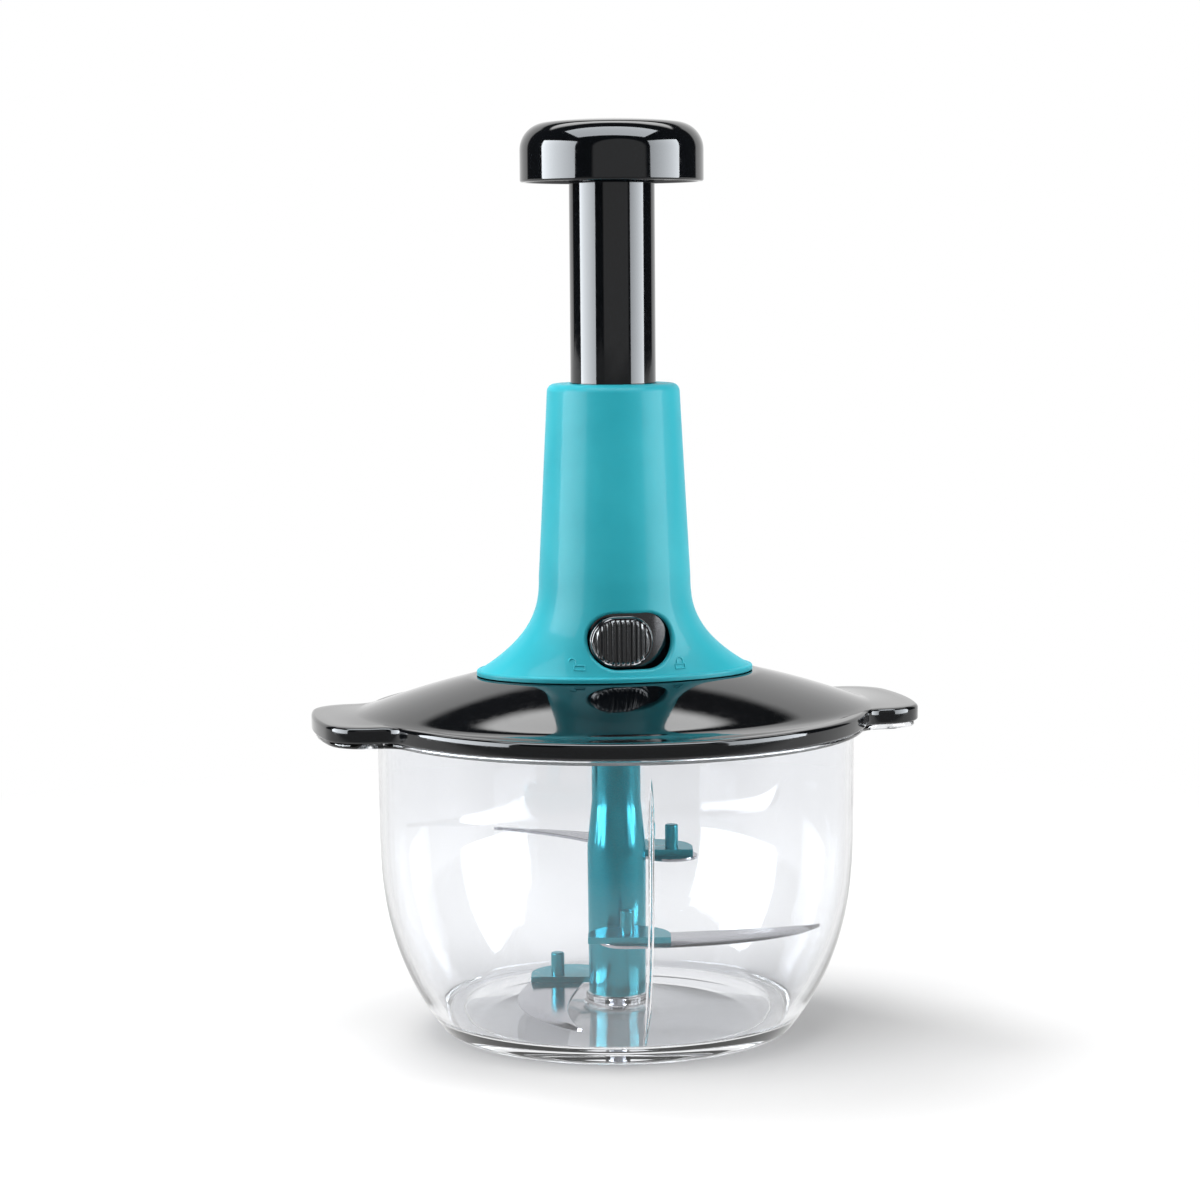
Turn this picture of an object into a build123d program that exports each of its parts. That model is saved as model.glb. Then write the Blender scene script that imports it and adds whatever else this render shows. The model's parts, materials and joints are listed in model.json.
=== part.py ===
"""Plunger food chopper: a clear bowl, a lid with a push mechanism, and three sickle blades.

Pressing the knob drives a twisted flat rod through a nut in the lid, which turns the blade shaft.
Lengths are in millimetres. The origin is the centre of the foot, on the table. The ears of the
lid lie along X, the lock button faces -Y, and +Z is up.
"""
import os
from math import cos, pi, radians, sin

from build123d import *

os.makedirs("parts", exist_ok=True)

# ---------------------------------------------------------------- driving dimensions

# Clearances
seat_gap = 0.2         # between a seat and the loose piece that rests on it
slide_gap = 0.3        # beside a piece that slides or turns without being guided there
fit_gap = 0.06         # radial clearance of a running fit
snug_gap = 0.1         # beside a piece that is pressed or screwed in place
on_circle = 0.01       # how near a corner lies to a circle to be taken as on it

# Bowl
bowl_height = 97.8     # table to the top of the rim
bowl_radius = 76.0     # outside of the rim
bowl_draft = 0.3       # how much the upper wall leans out
bowl_wall = 2.4
bowl_floor = 6.5       # table to the inner floor
belly_height = 70.0    # where the curved belly ends and the upper wall begins
belly_power = 2.8      # how late the belly turns in towards the foot
belly_steps = 8        # spans between the points of the belly's curve
foot_radius = 55.0
foot_width = 5.0
foot_step = 1.2
foot_recess = 1.0
base_flare = 1.5       # how far the belly starts outside the foot
rim_flange = 1.5       # thickness of the rim's eared flange
rim_inset = 1.2        # how far that flange stays inside the lid's outline
rib_width = 1.6        # slim upright rib on the inner wall
rib_depth = 1.2
rib_top_gap = 8.0      # rim to the rib's upper end
rib_heading = -94.0
boss_radius = 10.2
boss_height = 2.8

# Lid
rim_reach = 4.5        # bowl's rim out to the lid's edge
ear_length = 16.3      # how far the ears stand out from the round rim
ear_half_width = 28.0
ear_corner = 13.0
ear_blend = 7.0
lid_wall_height = 5.0
lid_wall = 2.2
lid_edge_round = 1.2
crown_ledge = 16.5     # flat ledge round the crown's foot, at the lid's sides
crown_stretch = 18.0   # how much further the crown's foot reaches towards the ears
crown_rise = 11.0
crown_blend = 4.0      # hollow where the crown runs out into the ledge
platform_margin = 2.0  # flat left round the foot of the housing
skirt_depth = 1.7      # how far the skirt reaches into the bowl
skirt_wall = 2.2
gasket_lip = 2.4

# Housing
base_length = 44.5     # half axes of the flared base
base_width = 29.6
base_edge = 1.7
base_round = 0.8
base_step = 1.3        # from the base's edge in to the foot of the flare
base_ledge = 0.3       # how much wider the hollow is in the base than in the flare
neck_radius = 24.1     # where the flare ends
neck_top_radius = 20.9
flare_height = 29.0
flare_power = 2.6
flare_steps = 6        # spans between the sections of the flare
housing_height = 91.7
housing_wall = 2.4
housing_top = 3.0
housing_top_round = 2.6

# Plunger
stroke = 60.0
knob_radius = 28.9
knob_height = 19.8
knob_shoulder = 9.2
knob_crown = 2.2       # rise of the domed top
knob_wall = 2.6
knob_stop_gap = 3.0    # knob to housing when fully pressed
knob_lip_round = 0.6
knob_recess = 2.0      # rim of the knob to the plate under it
knob_plate = 2.0
knob_collar = 2.0      # wall of the collar round the tube
knob_screw_circle = 20.0
knob_screw_depth = 6.0
knob_screw_head = 1.6
tube_radius = 13.5
tube_wall = 2.8
tube_foot_gap = 4.3    # lid to the tube's lower end when fully pressed
tube_in_knob = 11.0
stop_ring_wall = 2.5
stop_ring_height = 2.7
bush_height = 12.5
bush_top_gap = 0.5

# Twisted rod
rod_width = 7.0
rod_thickness = 2.0
rod_pitch = 40.0       # travel for one full turn
rod_slot_gap = 0.2
rod_straight = 35.0    # upper end that isn't twisted
rod_proud = 2.4        # how far the rod stands out below the nut at rest
rod_end_gap = 2.5      # rod to the floor of the shaft's bore when fully pressed
bore_gap = 1.1         # beside the rod, in the shaft
slot_margin = 1.0      # how far the nut's slot is cut past its ends
anchor_drop = 3.0      # knob's lower edge to the anchor's lower face
anchor_height = 9.0
clip_margin = 1.0
clip_thickness = 1.2

# Return spring
spring_wire = 1.6
spring_pitch = 9.0
spring_gap = 1.3       # wire to the tube's bore
seat_thickness = 3.0
seat_margin = 0.4      # seat's edge past the spring
seat_boss_wall = 2.4

# Drive in the lid
cup_radius = 17.0
cup_wall = 2.0
cup_floor = 2.0
cup_round = 1.2
cup_flange_reach = 7.0
cup_flange = 2.0
socket_wall = 2.35     # round the corners of the hex
socket_drop = 0.7      # how far the socket stands out below the cup
socket_flange_gap = 2.0  # beside the socket's flange, in the cup
socket_flange = 2.5
socket_web = 2.8       # between the hex and the teeth
hex_wall = 0.9         # thinnest wall between the shaft's bore and its flats
hex_gap = 0.15
hex_length = 10.8
hex_root_gap = 0.6     # shaft's shoulder to the socket's end
nut_radius = 10.0
nut_height = 9.4
nut_flange = 2.0
nut_headroom = 1.5     # nut to the lid above it
tooth_height = 2.0
tooth_depth = 2.6
tooth_inset = 0.5      # socket's edge in to the nut's teeth
tooth_play = 2.0       # degrees that each gap is wider than its tooth
tooth_count = 6
washer_thickness = 0.6
clutch_wire = 1.2
clutch_turns = 3
clutch_gap = 0.5       # clutch spring to the lid above it
clutch_side_gap = 0.7  # clutch spring to the nut inside it

# Blade unit
blade_turn = -12.0     # how the blade unit stands at rest
shaft_radius = 9.4
shaft_foot_radius = 9.2
shaft_neck_radius = 7.85
neck_length = 12.2     # neck of the shaft, above the conical shoulder
shoulder_length = 15.0
lower_rise = 2.0       # foot of the shaft to the lower arm
middle_rise = 19.4     # lower arm to middle arm
upper_rise = 22.3      # middle arm to upper arm
lower_tip_gap = 5.5    # each blade's tip to the bowl's wall
middle_tip_gap = 3.0
upper_tip_gap = 4.9
pin_circle = 20.0      # axis to each blade pin
pin_radius = 2.15
pin_proud = 7.8
pin_round = 0.5
upper_pad_shift = -6.1  # pin to the middle of each pad, along its straight edge
middle_pad_shift = 0.7
lower_pad_shift = 4.3
side_pad_edge = -2.5   # pin to the straight edge of the upper and lower pads
middle_pad_edge = -5.2
pad_width = 26.0
pad_straight = 5.0
pad_thickness = 2.0
blade_thickness = 1.0
heel_radius = 8.5
heel_swell = 3.5       # how far the outer edge bulges past the heel
heel_hollow = 0.5      # and the inner edge
tip_lean = 5.0         # how far both edges are drawn apart before the tip
outer_handles = (0.5, 0.3, 0.85)    # shares of the way to the tip, of each edge's two handles
inner_handles = (0.35, 0.25, 0.75)

# Pivot
pivot_radius = 2.5
pivot_cover = 12.0     # solid shaft between the pivot's top and the bore
pivot_root = 3.5       # table to the lower end of the pin
pivot_chamfer = 0.6
bush_wall = 1.5
bush_end_gap = 0.8

# Lock
lock_travel = 6.0
plate_rise = 7.5       # lid to the lock plate
plate_thickness = 2.0
plate_side = 2.2       # wall beside the keyhole
plate_end = 3.0        # wall at the keyhole's ends
keyhole_gap = 0.7
groove_depth = 1.6
button_rise = 12.3     # foot of the housing to the middle of the button
button_width = 20.0
button_height = 16.0
opening_margin = 0.7
opening_reach = 4.0    # how far the opening is cut behind the button
opening_round = 1.0    # round of the opening's mouth
button_gap = 0.5       # bezel to the button's back
button_proud = 0.8     # housing to the button's front
button_curve = 30.0
grip_ribs = 11
grip_rib_width = 0.7
grip_rib_proud = 0.5
grip_rib_pitch = 1.6
grip_rim = 1.3         # plain margin round the ribs
grip_root = 1.0        # button's back to the ribs' roots
stem_half_width = 3.0
tab_half_width = 4.0
stem_height = 4.5
stem_depth = 4.6
stem_setback = 2.2     # tab's end to the middle of the stem
tab_root = 2.0         # how far the tab reaches into the plate
peg_radius = 1.4
peg_margin = 1.2
bezel_wall = 1.6
bezel_gap = 0.15       # bezel to the inside of the housing
bezel_lap = 1.0        # how far the bezel reaches past the opening
bezel_depth = 11.7     # how far round the bezel curves back
guide_gap = 0.9        # lock guide to the housing's screw bosses
guide_corner = 8.0
guide_lip = 1.5        # wall behind the plate
guide_lip_inset = 9.0

# Screws
screw_radius = 1.4
screw_head_radius = 2.8
screw_head = 2.0
screw_short = 0.4      # free length of the hole past each screw's end
screw_boss_wall = 1.6
screw_boss_rise = 5.2
screw_boss_roof = 0.8
housing_screw_inset = 16.6  # housing's edge to its screws, both ways

# ---------------------------------------------------------------- levels and places

lid_low = bowl_height + seat_gap
flange_top = lid_low + lid_wall_height
platform = flange_top + crown_rise
platform_under = platform - lid_wall
rim_radius = bowl_radius + rim_reach
ear_reach = rim_radius + ear_length
crown_width = rim_radius - crown_ledge
crown_length = crown_width + crown_stretch
platform_length = base_length + platform_margin
platform_width = base_width + platform_margin
housing_low = platform + slide_gap
flare_low = housing_low + base_edge
neck_low = flare_low + flare_height
housing_high = housing_low + housing_height
knob_low = housing_high + stroke + knob_stop_gap
knob_high = knob_low + knob_height
bowl_inside = bowl_radius - bowl_wall

tube_bore = tube_radius - tube_wall
tube_low = platform + tube_foot_gap + stroke
tube_high = knob_low + tube_in_knob
bush_high = housing_high - housing_top - bush_top_gap
bush_low = bush_high - bush_height
stop_ring_radius = tube_radius + stop_ring_wall
plate_low = platform + plate_rise
groove_low = plate_low + stroke - slide_gap
groove_high = groove_low + plate_thickness + 2 * slide_gap

knob_plate_low = knob_low + knob_recess
knob_plate_high = knob_plate_low + knob_plate
seat_high = platform + seat_thickness
anchor_low = knob_low - anchor_drop
anchor_high = anchor_low + anchor_height
twist_top = anchor_high - rod_straight
spring_radius = tube_bore - spring_gap - spring_wire / 2

bore_radius = rod_width / 2 + bore_gap
seat_boss_radius = bore_radius + seat_boss_wall
hex_flats = 2 * (bore_radius + hex_wall)
nut_low = platform_under - nut_headroom - nut_height
teeth_low = nut_low - snug_gap - tooth_height
hex_high = teeth_low - socket_web
hex_low = hex_high - hex_length
socket_low = hex_low + hex_root_gap
cup_low = socket_low + socket_drop
cup_depth = platform_under - cup_low
cup_flange_radius = cup_radius + cup_flange_reach
socket_seat = cup_low + cup_floor
socket_flange_low = socket_seat + washer_thickness + snug_gap
socket_flange_radius = cup_radius - cup_wall - socket_flange_gap
socket_radius = hex_flats / 2 / cos(radians(30)) + socket_wall

boss_high = bowl_floor + boss_height
shaft_low = boss_high + slide_gap
shoulder_high = hex_low - neck_length
shoulder_low = shoulder_high - shoulder_length
rod_low_end = nut_low - rod_proud
bore_floor = rod_low_end - stroke - rod_end_gap
pivot_high = bore_floor - pivot_cover
lower_arm = shaft_low + lower_rise
middle_arm = lower_arm + middle_rise
upper_arm = middle_arm + upper_rise

housing_screw_x = base_length - housing_screw_inset
housing_screw_y = base_width - housing_screw_inset
keyhole_radius = tube_radius + keyhole_gap
plate_half_width = keyhole_radius + plate_side
button_centre = housing_low + button_rise
button_shift = -lock_travel / 2
opening_width = button_width + lock_travel + 2 * slide_gap
opening_height = button_height + 2 * opening_margin

def save(builder, name):
    """Label a finished piece and write it."""
    builder.part.label = name
    export_step(builder.part, f"parts/{name}.step")


def eared_outline(radius, reach):
    """Plan of the rim: a circle with two opposite rounded ears, blended into it."""
    with BuildSketch() as ears:
        Circle(reach)
        Rectangle(2 * reach, 2 * ear_half_width, mode=Mode.INTERSECT)
        fillet(ears.vertices(), ear_corner)
    with BuildSketch() as outline:
        Circle(radius)
        add(ears.sketch)
        corners = outline.vertices().filter_by(lambda v: abs(Vector(v.X, v.Y).length - radius) < on_circle)
        fillet(corners, ear_blend)
    return outline.sketch


def belly_points(top_radius, base_radius, base_height):
    """Points up the bowl's belly: the radius grows with a power law from foot to upper wall."""
    points = []
    for step in range(belly_steps + 1):
        part = step / belly_steps
        radius = top_radius - (top_radius - base_radius) * (1 - part) ** belly_power
        points.append((radius, base_height + (belly_height - base_height) * part))
    return points


def belly_radius(height, top_radius, base_radius, base_height):
    """The same power law, at one height."""
    part = (height - base_height) / (belly_height - base_height)
    return top_radius - (top_radius - base_radius) * (1 - part) ** belly_power


def flare_axes(height, inset):
    """Half axes of the housing's section at a height, set in from its outer face."""
    part = (height - flare_low) / flare_height
    weight = (1 - part) ** flare_power
    length = neck_radius + (base_length - base_step - neck_radius) * weight
    width = neck_radius + (base_width - base_step - neck_radius) * weight
    return length - inset, width - inset


def twisted_bar(width, thickness, low, high):
    """Flat bar twisted left-handed about the axis, in phase with the rod at every height."""
    start = -360.0 * low / rod_pitch
    with BuildSketch(Plane.XY.offset(low)) as section:
        Rectangle(width, thickness, rotation=start)
    turn = -360.0 * (high - low) / rod_pitch
    return Solid.extrude_linear_with_rotation(section.sketch.faces()[0], (0, 0, low), (0, 0, high - low), turn)


def pin_place(arm):
    """Where an arm's pin stands, in the blade unit's own plan."""
    angle = radians(arm["heading"])
    return pin_circle * cos(angle), pin_circle * sin(angle)


def unit_plane(height):
    """Plan of the blade unit at a height, turned as it stands at rest."""
    return Plane.XY.offset(height).rotated((0, 0, blade_turn))


# ---------------------------------------------------------------- bowl

outer_wall = bowl_radius - bowl_draft
inner_wall = outer_wall - bowl_wall
inner_base = foot_radius + base_flare
outer_points = belly_points(outer_wall, inner_base, foot_step)
inner_points = belly_points(inner_wall, inner_base, bowl_floor)

with BuildPart() as bowl:
    with BuildSketch(Plane.XZ):
        with BuildLine():
            Polyline(
                (inner_base, bowl_floor),
                (0, bowl_floor),
                (0, foot_recess),
                (foot_radius - foot_width, foot_recess),
                (foot_radius - foot_width, 0),
                (foot_radius, 0),
                outer_points[0],
            )
            Spline(*outer_points)
            Polyline(
                outer_points[-1],
                (bowl_radius, bowl_height),
                (bowl_inside, bowl_height),
                inner_points[-1],
            )
            Spline(*reversed(inner_points))
        make_face()
    revolve(axis=Axis.Z)
    with BuildSketch(Plane.XY.offset(bowl_height - rim_flange)):
        add(eared_outline(rim_radius - rim_inset, ear_reach - rim_inset))
        Circle(bowl_inside + bowl_wall / 2, mode=Mode.SUBTRACT)
    extrude(amount=rim_flange)
    with BuildSketch(Plane.XY.offset(bowl_floor)):
        Circle(boss_radius)
    extrude(amount=boss_height)
    with Locations((0, 0, pivot_root)):
        Cylinder(pivot_radius, boss_high, align=(Align.CENTER, Align.CENTER, Align.MIN), mode=Mode.SUBTRACT)

rib_plane = Plane(origin=(0, 0, 0), x_dir=(cos(radians(rib_heading)), sin(radians(rib_heading)), 0),
                  z_dir=(sin(radians(rib_heading)), -cos(radians(rib_heading)), 0))
with BuildPart() as bowl_rib:
    with BuildSketch(rib_plane):
        with BuildLine():
            rib_inner = [(r - rib_depth, z) for r, z in inner_points[:-1]]
            rib_outer = [(r + bowl_wall / 3, z) for r, z in inner_points[:-1]]
            rib_spine = Spline(*rib_inner)
            rib_root = Spline(*rib_outer)
            Line(rib_spine @ 0, rib_root @ 0)
            Polyline(rib_spine @ 1, (bowl_inside - rib_depth, bowl_height - rib_top_gap),
                     (bowl_inside + bowl_wall / 3, bowl_height - rib_top_gap), rib_root @ 1)
        make_face()
    extrude(amount=rib_width / 2, both=True)

with BuildPart() as bowl_whole:
    add(bowl.part)
    add(bowl_rib.part)
save(bowl_whole, "bowl")

with BuildPart() as pivot_pin:
    with Locations((0, 0, pivot_root)):
        Cylinder(pivot_radius, pivot_high - pivot_root, align=(Align.CENTER, Align.CENTER, Align.MIN))
    chamfer(pivot_pin.edges().group_by(Axis.Z)[-1], pivot_chamfer)
save(pivot_pin, "pivot_pin")

# ---------------------------------------------------------------- lid

skirt_outer = bowl_inside - slide_gap - gasket_lip
skirt_inner = skirt_outer - skirt_wall
skirt_low = bowl_height - skirt_depth

with BuildPart() as lid_cavity:
    with BuildSketch(Plane.XY.offset(lid_low)):
        add(eared_outline(rim_radius - lid_wall, ear_reach - lid_wall))
    extrude(amount=lid_wall_height - lid_wall)
    with BuildSketch(Plane.XY.offset(flange_top - lid_wall)):
        Ellipse(crown_length - lid_wall, crown_width - lid_wall)
    with BuildSketch(Plane.XY.offset(platform_under)):
        Ellipse(platform_length - lid_wall, platform_width - lid_wall)
    loft()
    with BuildSketch(Plane.XY.offset(lid_low)):
        Circle(skirt_outer)
        Circle(skirt_inner, mode=Mode.SUBTRACT)
    extrude(amount=crown_rise, mode=Mode.SUBTRACT)

housing_screw_places = [(x, y) for x in (-housing_screw_x, housing_screw_x)
                        for y in (-housing_screw_y, housing_screw_y)]
cup_screw_circle = (cup_radius + cup_flange_radius) / 2

with BuildPart() as lid_cover:
    with BuildSketch(Plane.XY.offset(lid_low)):
        add(eared_outline(rim_radius, ear_reach))
    extrude(amount=lid_wall_height)
    fillet(lid_cover.edges().group_by(Axis.Z)[-1], lid_edge_round)
    with BuildSketch(Plane.XY.offset(flange_top)):
        Ellipse(crown_length, crown_width)
    with BuildSketch(Plane.XY.offset(platform)):
        Ellipse(platform_length, platform_width)
    loft()
    crown_foot = lid_cover.edges().filter_by_position(Axis.Z, flange_top - on_circle, flange_top + on_circle)
    crown_foot = crown_foot.filter_by(lambda e: e.length > pi * crown_width)
    fillet(crown_foot, crown_blend)
    add(lid_cavity.part, mode=Mode.SUBTRACT)
    with BuildSketch(Plane.XY.offset(skirt_low)):
        Circle(skirt_outer)
        Circle(skirt_inner, mode=Mode.SUBTRACT)
    extrude(amount=lid_low + lid_wall_height / 2 - skirt_low)
    with BuildSketch(Plane.XY.offset(platform_under)):
        Circle(seat_boss_radius)
        with Locations(*housing_screw_places):
            Circle(screw_radius + slide_gap)
        with PolarLocations(cup_screw_circle, 3, start_angle=30):
            Circle(screw_radius)
    extrude(amount=lid_wall, mode=Mode.SUBTRACT)
save(lid_cover, "lid_cover")

with BuildPart() as lid_gasket:
    with BuildSketch(Plane.XY.offset(skirt_low)):
        Circle(bowl_inside - slide_gap)
        Circle(skirt_outer, mode=Mode.SUBTRACT)
    extrude(amount=flange_top - lid_wall - skirt_low)
    with BuildSketch(Plane.XY.offset(lid_low)):
        Circle(bowl_radius - snug_gap)
        Circle(skirt_outer, mode=Mode.SUBTRACT)
    extrude(amount=lid_wall_height - lid_wall)
save(lid_gasket, "lid_gasket")

# ---------------------------------------------------------------- drive cup under the lid

with BuildPart() as clutch_cup:
    with BuildSketch(Plane.XY.offset(cup_low)):
        Circle(cup_radius)
    extrude(amount=cup_depth)
    with BuildSketch(Plane.XY.offset(platform_under - cup_flange)):
        Circle(cup_flange_radius)
    extrude(amount=cup_flange)
    with BuildSketch(Plane.XY.offset(socket_seat)):
        Circle(cup_radius - cup_wall)
    extrude(amount=cup_depth, mode=Mode.SUBTRACT)
    with BuildSketch(Plane.XY.offset(cup_low)):
        Circle(socket_radius + fit_gap)
    extrude(amount=cup_floor, mode=Mode.SUBTRACT)
    with BuildSketch(Plane.XY.offset(platform_under - cup_flange)):
        with PolarLocations(cup_screw_circle, 3, start_angle=30):
            Circle(screw_radius)
    extrude(amount=cup_flange, mode=Mode.SUBTRACT)
    fillet(clutch_cup.edges().group_by(Axis.Z)[0].sort_by(SortBy.LENGTH)[-1], cup_round)
save(clutch_cup, "clutch_cup")

with BuildPart() as cup_screws:
    with BuildSketch(Plane.XY.offset(platform_under - cup_flange - screw_head)):
        with PolarLocations(cup_screw_circle, 3, start_angle=30):
            Circle(screw_head_radius)
    extrude(amount=screw_head)
    with BuildSketch(Plane.XY.offset(platform_under - cup_flange)):
        with PolarLocations(cup_screw_circle, 3, start_angle=30):
            Circle(screw_radius)
    extrude(amount=cup_flange + lid_wall - screw_short)
save(cup_screws, "cup_screws")

with BuildPart() as thrust_washer:
    with BuildSketch(Plane.XY.offset(socket_seat)):
        Circle(socket_flange_radius)
        Circle(socket_radius + slide_gap, mode=Mode.SUBTRACT)
    extrude(amount=washer_thickness)
save(thrust_washer, "thrust_washer")

with BuildPart() as spring_seat:
    with BuildSketch(Plane.XY.offset(platform)):
        Circle(spring_radius + spring_wire / 2 + seat_margin)
        Circle(bore_radius, mode=Mode.SUBTRACT)
    extrude(amount=seat_high - platform)
    with BuildSketch(Plane.XY.offset(platform_under)):
        Circle(seat_boss_radius)
        Circle(bore_radius, mode=Mode.SUBTRACT)
    extrude(amount=lid_wall)
save(spring_seat, "spring_seat")

# ---------------------------------------------------------------- drive socket, nut and clutch spring

tooth_angle = 360.0 / tooth_count / 2
tooth_foot = socket_radius - tooth_inset - tooth_depth
with BuildPart() as drive_socket:
    with BuildSketch(Plane.XY.offset(socket_low)):
        Circle(socket_radius)
    extrude(amount=teeth_low - socket_low)
    with BuildSketch(Plane.XY.offset(socket_flange_low)):
        Circle(socket_flange_radius)
    extrude(amount=socket_flange)
    with BuildSketch(Plane.XY.offset(teeth_low)):
        Circle(socket_radius)
        Circle(bore_radius + tooth_inset, mode=Mode.SUBTRACT)
        with PolarLocations(socket_radius, tooth_count):
            Rectangle(socket_radius, 2 * socket_radius * sin(radians(tooth_angle / 2 + tooth_play)),
                      mode=Mode.SUBTRACT)
    extrude(amount=tooth_height - snug_gap)
    with BuildSketch(unit_plane(socket_low)):
        RegularPolygon(hex_flats / 2 + hex_gap, 6, major_radius=False)
    extrude(amount=hex_high - socket_low + slide_gap, mode=Mode.SUBTRACT)
    with BuildSketch(Plane.XY.offset(socket_low)):
        Circle(bore_radius)
    extrude(amount=teeth_low - socket_low, mode=Mode.SUBTRACT)
save(drive_socket, "drive_socket")

nut_slot = twisted_bar(rod_width + 2 * rod_slot_gap, rod_thickness + 2 * rod_slot_gap,
                       teeth_low - slot_margin, nut_low + nut_height + slot_margin)
with BuildPart() as drive_nut:
    with BuildSketch(Plane.XY.offset(nut_low)):
        Circle(nut_radius)
    extrude(amount=nut_height)
    with BuildSketch(Plane.XY.offset(nut_low)):
        Circle(socket_flange_radius)
    extrude(amount=nut_flange)
    with BuildSketch(Plane.XY.offset(teeth_low + snug_gap)):
        with PolarLocations(tooth_foot + tooth_depth / 2, tooth_count):
            Rectangle(tooth_depth, 2 * tooth_foot * sin(radians(tooth_angle / 2)))
    extrude(amount=nut_low - teeth_low)
    add(nut_slot, mode=Mode.SUBTRACT)
save(drive_nut, "drive_nut")

clutch_coil_low = nut_low + nut_flange + snug_gap + clutch_wire / 2
clutch_rise = platform_under - clutch_gap - clutch_wire / 2 - clutch_coil_low
clutch_radius = nut_radius + clutch_side_gap + clutch_wire / 2
with BuildPart() as clutch_spring:
    with BuildLine() as clutch_coil:
        Helix(clutch_rise / clutch_turns, clutch_rise, clutch_radius, center=(0, 0, clutch_coil_low))
    with BuildSketch(Plane(origin=clutch_coil.line @ 0, z_dir=clutch_coil.line % 0)):
        Circle(clutch_wire / 2)
    sweep(is_frenet=True)
save(clutch_spring, "clutch_spring")

# ---------------------------------------------------------------- housing

flare_levels = [flare_low + flare_height * step / flare_steps for step in range(flare_steps + 1)]
neck_taper = (neck_radius - neck_top_radius) / (housing_high - neck_low)
cavity_top = housing_high - housing_top
cavity_top_radius = neck_top_radius + neck_taper * housing_top - housing_wall
hollow_inset = base_step + housing_wall - base_ledge
bezel_low = button_centre - opening_height / 2 - bezel_lap
bezel_high = button_centre + opening_height / 2 + bezel_lap
bezel_length, bezel_width = flare_axes(bezel_high, housing_wall + bezel_gap)
button_back = bezel_width + button_gap
button_front = flare_axes(button_centre, 0.0)[1] + button_proud

with BuildPart() as housing:
    with BuildSketch(Plane.XY.offset(housing_low)):
        Ellipse(base_length, base_width)
    extrude(amount=base_edge)
    fillet(housing.edges().group_by(Axis.Z)[-1], base_round)
    for level in flare_levels:
        with BuildSketch(Plane.XY.offset(level)):
            Ellipse(*flare_axes(level, 0.0))
    loft()
    with BuildSketch(Plane.XY.offset(neck_low)):
        Circle(neck_radius)
    with BuildSketch(Plane.XY.offset(housing_high)):
        Circle(neck_top_radius)
    loft()
    fillet(housing.edges().group_by(Axis.Z)[-1], housing_top_round)
    with BuildSketch(Plane.XZ.offset(button_back - opening_reach)):
        with Locations((0, button_centre)):
            SlotOverall(opening_width, opening_height)
    extrude(amount=base_width, mode=Mode.SUBTRACT)
    fillet(housing.edges(Select.LAST).filter_by(GeomType.BSPLINE), opening_round)
    with BuildSketch(Plane.XY.offset(housing_low)):
        Ellipse(base_length - hollow_inset, base_width - hollow_inset)
    extrude(amount=base_edge, mode=Mode.SUBTRACT)
    for level in flare_levels:
        with BuildSketch(Plane.XY.offset(level)):
            Ellipse(*flare_axes(level, housing_wall))
    loft(mode=Mode.SUBTRACT)
    with BuildSketch(Plane.XY.offset(neck_low)):
        Circle(neck_radius - housing_wall)
    with BuildSketch(Plane.XY.offset(cavity_top)):
        Circle(cavity_top_radius)
    loft(mode=Mode.SUBTRACT)
    with BuildSketch(Plane.XY.offset(cavity_top)):
        Circle(tube_radius + slide_gap)
    extrude(amount=housing_top, mode=Mode.SUBTRACT)
    with BuildSketch(Plane.XY.offset(housing_low)):
        with Locations(*housing_screw_places):
            Circle(screw_radius + screw_boss_wall)
    extrude(amount=screw_boss_rise)
    with BuildSketch(Plane.XY.offset(housing_low)):
        with Locations(*housing_screw_places):
            Circle(screw_radius)
    extrude(amount=screw_boss_rise - screw_boss_roof, mode=Mode.SUBTRACT)
save(housing, "housing")

with BuildPart() as housing_screws:
    with BuildSketch(Plane.XY.offset(platform_under - screw_head)):
        with Locations(*housing_screw_places):
            Circle(screw_head_radius)
    extrude(amount=screw_head)
    with BuildSketch(Plane.XY.offset(platform_under)):
        with Locations(*housing_screw_places):
            Circle(screw_radius)
    extrude(amount=housing_low + screw_boss_rise - screw_boss_roof - screw_short - platform_under)
save(housing_screws, "housing_screws")

with BuildPart() as top_bush:
    with BuildSketch(Plane.XY.offset(bush_low)):
        Circle(cavity_top_radius - snug_gap)
        Circle(tube_radius + fit_gap, mode=Mode.SUBTRACT)
    extrude(amount=bush_height)
save(top_bush, "top_bush")

# ---------------------------------------------------------------- plunger

with BuildPart() as plunger_tube:
    with BuildSketch(Plane.XY.offset(tube_low)):
        Circle(tube_radius)
        Circle(tube_bore, mode=Mode.SUBTRACT)
    extrude(amount=tube_high - tube_low)
    with BuildSketch(Plane.XY.offset(groove_low)):
        Circle(tube_radius)
        Circle(tube_radius - groove_depth, mode=Mode.SUBTRACT)
    extrude(amount=groove_high - groove_low, mode=Mode.SUBTRACT)
save(plunger_tube, "plunger_tube")

with BuildPart() as stop_ring:
    with BuildSketch(Plane.XY.offset(bush_low - slide_gap - stop_ring_height)):
        Circle(stop_ring_radius)
        Circle(tube_radius, mode=Mode.SUBTRACT)
    extrude(amount=stop_ring_height)
save(stop_ring, "stop_ring")

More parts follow.
